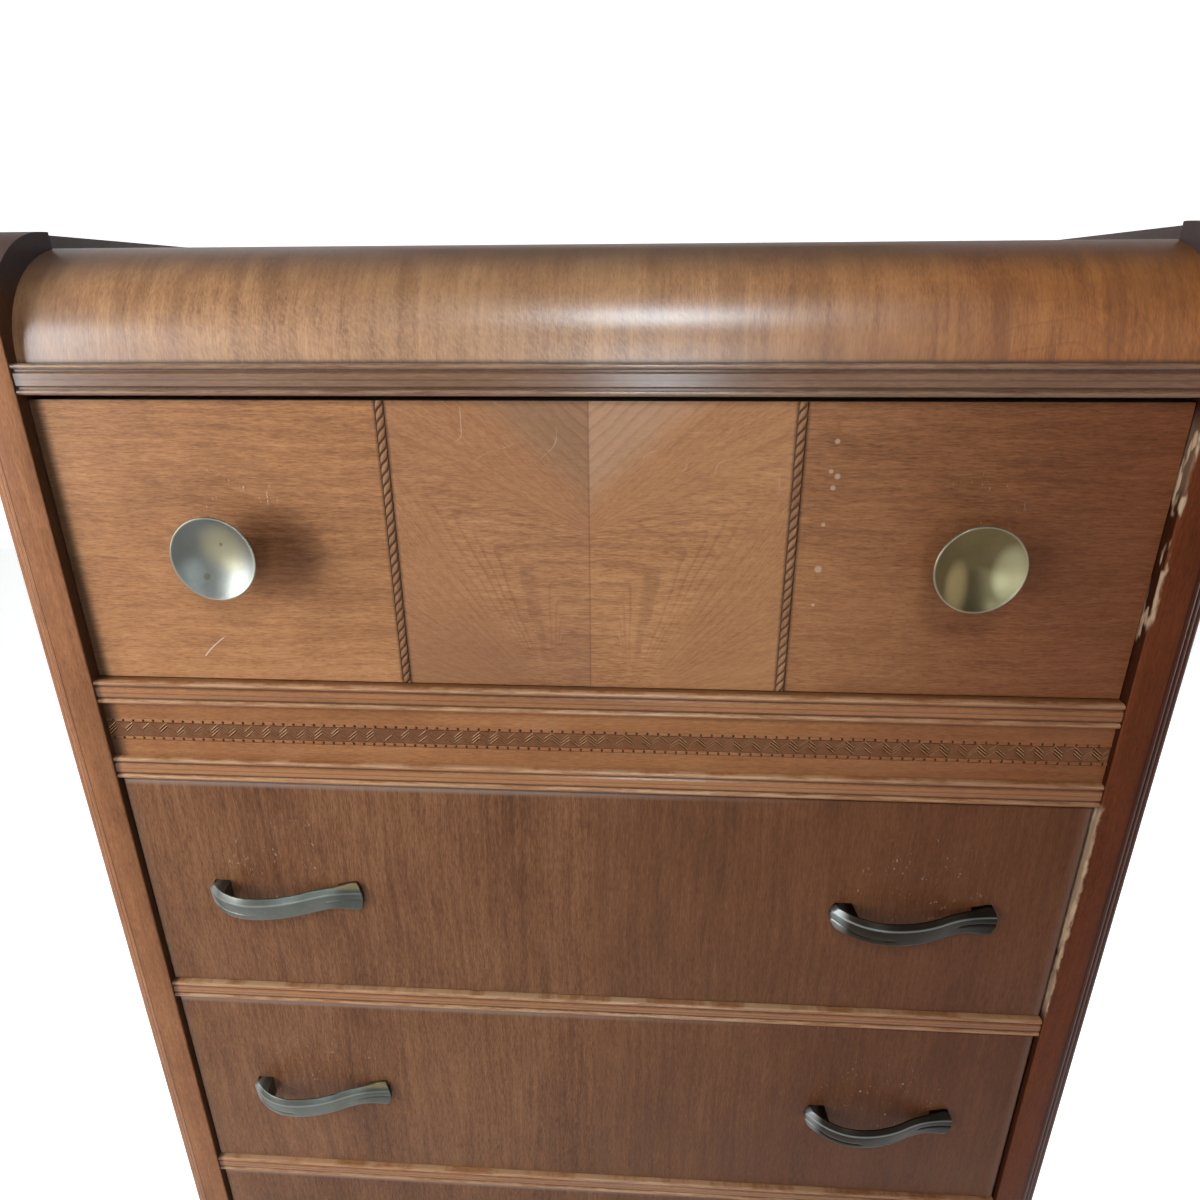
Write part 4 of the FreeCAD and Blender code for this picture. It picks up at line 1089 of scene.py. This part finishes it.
def zigzag_field(solid, low, high, flat_y, back_y, left, right, draw):
    """Middle of the band: three pressed zigzag lines, stronger on some strokes than on others."""
    strokes = int((right - left) / (ZIGZAG_PITCH * MM / 2)) + 1
    middle_z = (low + high) / 2
    shares = (0.0, 0.16, 0.38, 0.62, 0.84)
    columns = []
    for stroke in range(strokes):
        for share in shares:
            x = left + (stroke + share) * ZIGZAG_PITCH * MM / 2
            if x < right:
                rise = share if stroke % 2 == 0 else 1 - share
                columns.append((x, (rise * 2 - 1) * ZIGZAG_SWING * MM, stroke, share))
    columns.append((right, columns[-1][1], strokes - 1, 0.5))
    strength = {
        (stroke, line): draw.choice(PRESSED) * stroke_share(stroke / strokes, stroke % 2 == 0)
        for stroke in range(strokes) for line in ZIGZAG_LINES
    }
    edges = []
    for line in ZIGZAG_LINES:
        edges += [(line - ZIGZAG_CUT, line, 0.0), (line, line, 1.0), (line + ZIGZAG_CUT, line, -0.5)]
        edges.append((line + ZIGZAG_CUT * 2, line, 0.0))
    rows = [[(x, flat_y, low) for x, *rest in columns]]
    for place, line, cut in edges:
        row = []
        for x, swing, stroke, share in columns:
            ends = 0.45 if share in (shares[0], 0.5) else 1.0
            y = flat_y + cut * 0.75 * MM * strength[(stroke, line)] * ends
            row.append((x, y, middle_z + swing + place * MM))
        rows.append(row)
    rows.append([(x, flat_y, high) for x, *rest in columns])
    solid.slab(rows, back_y)


def band_piece():
    low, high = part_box("frieze_band")
    flat_y = low.y + 0.4 * MM
    field_y = low.y + BAND_FIELD
    draw = random.Random(7)
    solid = Solid()
    ends = (low.x, high.x)
    bead_border(solid, low.z, low.z + BORDER, flat_y, high.y, *ends, 3.1)
    zigzag_field(solid, low.z + INNER_EDGE, high.z - INNER_EDGE, field_y, high.y, *ends, draw)
    bead_border(solid, high.z - BORDER, high.z, flat_y, high.y, *ends, 5.2)
    lines = ((low.z + BORDER, low.z + INNER_EDGE), (high.z - INNER_EDGE, high.z - BORDER))
    for near, far in lines:
        groove = [[(x, flat_y + 0.75 * MM, z) for x in spread(*ends, 12)] for z in (near, far)]
        solid.slab(groove, high.y)
    add_piece("frieze_band", solid, band_look(), 50.0)


# Nodes of the frame that stay: looks and eased edges

def shading_group():
    """Joins the facets of a node and marks them smooth, so that its edges can be eased."""
    group = bpy.data.node_groups.new("joined_facets", "GeometryNodeTree")
    for way in ("INPUT", "OUTPUT"):
        group.interface.new_socket("Geometry", in_out=way, socket_type="NodeSocketGeometry")
    nodes = Nodes(group)
    mesh = nodes.add("NodeGroupInput", {})
    mesh = nodes.add("GeometryNodeRemoveAttribute", {0: mesh, "Name": "custom_normal"})
    mesh = nodes.add("GeometryNodeMergeByDistance", {0: mesh, "Distance": 0.002 * MM})
    mesh = nodes.add("GeometryNodeSetShadeSmooth", {0: mesh})
    angle = nodes.add("GeometryNodeInputMeshEdgeAngle", {})
    compare = {"data_type": "FLOAT", "operation": "LESS_THAN"}
    blunt = nodes.add("FunctionNodeCompare", {0: angle, 1: math.radians(28)}, **compare)
    mesh = nodes.add("GeometryNodeSetShadeSmooth", {0: mesh, "Shade Smooth": blunt}, domain="EDGE")
    nodes.put(nodes.node("NodeGroupOutput").inputs[0], mesh)
    return group


SHADING = shading_group()


def dress(name, look, ease=0.0):
    """Gives a node its look, and eases its edges where its faces are plain."""
    node = NODES[name]
    node.material_slots[0].material = look.material
    assign(node.modifiers.new("joined_facets", "NODES"), node_group=SHADING)
    if ease:
        plain = node.modifiers.new("plain_faces", "DECIMATE")
        assign(plain, decimate_type="DISSOLVE", angle_limit=math.radians(0.3))
        bevel = node.modifiers.new("eased_edges", "BEVEL")
        assign(bevel, width=ease, segments=2, limit_method="ANGLE", angle_limit=math.radians(40))
        bevel.harden_normals = True


# Reeded strips: paleness, then wear with a painted highlight on the bead tops, then tones, roughness,
# shine and coat where they differ
MOULDINGS = {
    "top_moulding": (0.2, 0.3, MOULDING_BROWN, 0.26, 0.2, 0.5),
    "frieze_upper_moulding": (0.2, 0.6),
    "frieze_lower_moulding": (0.4, 0.6),
    "upper_divider_rail": (0.4, 0.6),
    "lower_divider_rail": (0.3, 0.5),
}


def dress_carcass():
    dress("waterfall_top", waterfall_look())
    for name, side in SIDES:
        dress(f"{name}_front_post", post_look(side))
        dress(f"{name}_end_panel", end_look(f"{name}_end_panel"), 0.6 * MM)
        dress(f"{name}_rear_post", rear_post_look(f"{name}_rear_post", side), 1.2 * MM)
        dress(f"{name}_runners", runner_wood, 0.5 * MM)
    dress("frieze_board", frieze_look())
    dress("base_rail", base_rail_look(), 0.8 * MM)
    for name, marks in MOULDINGS.items():
        dress(name, moulding_look(name, *marks))
    dress("top_rail", gap_look("top_rail", 84.0, 60 * MM), 0.5 * MM)
    dress("rear_rails", rail_wood, 0.5 * MM)
    dress("back_panel", back_plywood)


def dress_drawers():
    dress("drawer_1_front", gap_look("drawer_1_front", 85.0, 8 * MM))
    for number in range(1, 5):
        for side in ("left", "right"):
            dress(f"drawer_{number}_{side}_side", side_wood, 0.5 * MM)
        dress(f"drawer_{number}_back", back_wood, 0.5 * MM)
        dress(f"drawer_{number}_bottom", bottom_plywood)
    dress("drawer_1_knob_screws", screw_steel)
    for name, side in SIDES:
        dress(f"drawer_1_{name}_outer_leaf", outer_leaf_look(side))
        dress(f"drawer_1_{name}_centre_leaf", centre_leaf_look(side))
        rope_piece(f"drawer_1_{name}_rope_strip", side)
        knob_piece(f"drawer_1_{name}_knob", side)
    for number in (2, 3, 4):
        dress(f"drawer_{number}_front", drawer_look(number))
        dress(f"drawer_{number}_pull_screws", screw_steel)
        for name, side in SIDES:
            pull_piece(f"drawer_{number}_{name}_pull", side)


runner_wood = inside_look("runner_wood_look", PALE, "y", 80.0)
rail_wood = inside_look("rail_wood_look", PALE, "x", 83.0)
side_wood = inside_look("drawer_side_look", PALE, "y", 86.0)
back_wood = inside_look("drawer_back_look", PALE, "x", 89.0)
bottom_plywood = inside_look("drawer_bottom_look", PLYWOOD, "x", 92.0)
back_plywood = inside_look("back_panel_look", PLYWOOD, "z", 95.0)
screw_steel = steel_look()

dress_carcass()
dress_drawers()
band_piece()


# Studio

CAMERA_PLACE = Vector((0.036, -0.6858, 1.0805))
CAMERA_YAW = math.radians(-3.51)
CAMERA_PITCH = math.radians(21.31)
CAMERA_ROLL = math.radians(-0.31)
CAMERA_LENS = 24.0
CAMERA_SENSOR = 36.0


def add_camera():
    camera = add_object("camera", bpy.data.cameras.new("camera"))
    assign(camera.data, lens=CAMERA_LENS, sensor_width=CAMERA_SENSOR, clip_start=0.01)
    place = Matrix.Translation(CAMERA_PLACE)
    for angle, axis in ((-CAMERA_YAW, "Z"), (math.pi / 2 - CAMERA_PITCH, "X"), (CAMERA_ROLL, "Z")):
        place = place @ Matrix.Rotation(angle, 4, axis)
    camera.matrix_world = place
    bpy.context.scene.camera = camera


def add_softbox(name, place, aim, wide, high, power, colour):
    lamp = add_object(name, bpy.data.lights.new(name, "AREA"))
    assign(lamp.data, shape="RECTANGLE", size=wide, size_y=high, energy=power, color=colour)
    lamp.visible_camera = False
    lamp.location = place
    lamp.rotation_euler = (Vector(aim) - Vector(place)).to_track_quat("-Z", "Y").to_euler()


def add_sheet(name, corners, glow):
    """Floor or backdrop: pale, shows with a strength of its own and takes shadows."""
    mesh = bpy.data.meshes.new(name)
    mesh.from_pydata(corners, [], [range(len(corners))])
    material = new_material(f"{name}_look")
    nodes = Nodes(material.node_tree)
    paint = nodes.add("ShaderNodeBsdfDiffuse", {"Color": SHEET_COLOUR})
    light = nodes.add("ShaderNodeEmission", {"Strength": nodes.seen() * glow})
    both = nodes.add("ShaderNodeAddShader", {0: paint, 1: light})
    nodes.put(nodes.node("ShaderNodeOutputMaterial").inputs["Surface"], both)
    mesh.materials.append(material)
    sheet = add_object(name, mesh)


def add_world():
    """Even fill light; the world shows paler than it lights."""
    world = bpy.data.worlds.new("studio")
    world.use_nodes = True
    nodes = Nodes(world.node_tree)
    background = nodes.tree.nodes["Background"]
    nodes.put(background.inputs["Color"], WORLD_COLOUR)
    values = {"Value": nodes.seen(), "To Min": WORLD_FILL, "To Max": WORLD_SHOWN}
    nodes.put(background.inputs["Strength"], nodes.add("ShaderNodeMapRange", values))
    bpy.context.scene.world = world


COOL = (0.88, 0.95, 1.0)
WINDOW = (0.75, 0.9, 1.0)
WORLD_COLOUR = (1.0, 0.93, 0.86)
WORLD_FILL = 0.1
WORLD_SHOWN = 0.22
SHEET_COLOUR = (0.8, 0.8, 0.8)
FLOOR_GLOW = 0.82
# Corners of the floor, and of the lower middle part of the rear backdrop
FLOOR = ((-4.5, -5.0), (4.5, -5.0), (4.5, 2.6), (1.25, 2.6), (-1.25, 2.6), (-4.5, 2.6))
# Backdrops from each corner to the next: name, strength, height
WALLS = (
    ("front_backdrop", 0.5, 4.2),
    ("right_backdrop", 0.92, 4.2),
    ("rear_right_backdrop", 0.92, 4.2),
    ("rear_backdrop", 0.92, 2.55),
    ("rear_left_backdrop", 0.92, 4.2),
    ("left_backdrop", 0.92, 4.2),
)


# Lamps: name, place, aim, width, height, power, colour
LAMPS = (
    ("left_softbox", (-1.2, -0.8, 1.15), (-0.1, -0.2, 0.93), 0.7, 0.85, 20.0, COOL),
    ("low_left_softbox", (-1.3, -1.65, 0.5), (-0.1, -0.2, 0.9), 1.1, 1.1, 4.0, COOL),
    ("high_softbox", (0.06, -1.38, 2.14), (0.05, -0.19, 1.07), 0.3, 0.34, 14.0, WINDOW),
    ("front_softbox", (0.06, -2.1, 1.08), (0.05, -0.2, 1.0), 0.22, 0.95, 10.0, WINDOW),
    ("right_softbox", (1.9, 0.6, 0.75), (0.38, 0.0, 0.55), 1.0, 1.0, 11.0, COOL),
    ("rear_softbox", (0.3, 1.9, 0.75), (0.0, 0.2, 0.55), 1.2, 1.0, 14.0, COOL),
)


def light_studio():
    add_world()
    add_sheet("floor", [(x, y, 0) for x, y in FLOOR], FLOOR_GLOW)
    for (name, glow, top), near, far in zip(WALLS, FLOOR, FLOOR[1:] + FLOOR[:1]):
        add_sheet(name, [(*near, 0), (*far, 0), (*far, top), (*near, top)], glow)
    for lamp in LAMPS:
        add_softbox(*lamp)


light_studio()
add_camera()
bpy.context.scene.view_settings.view_transform = "Standard"
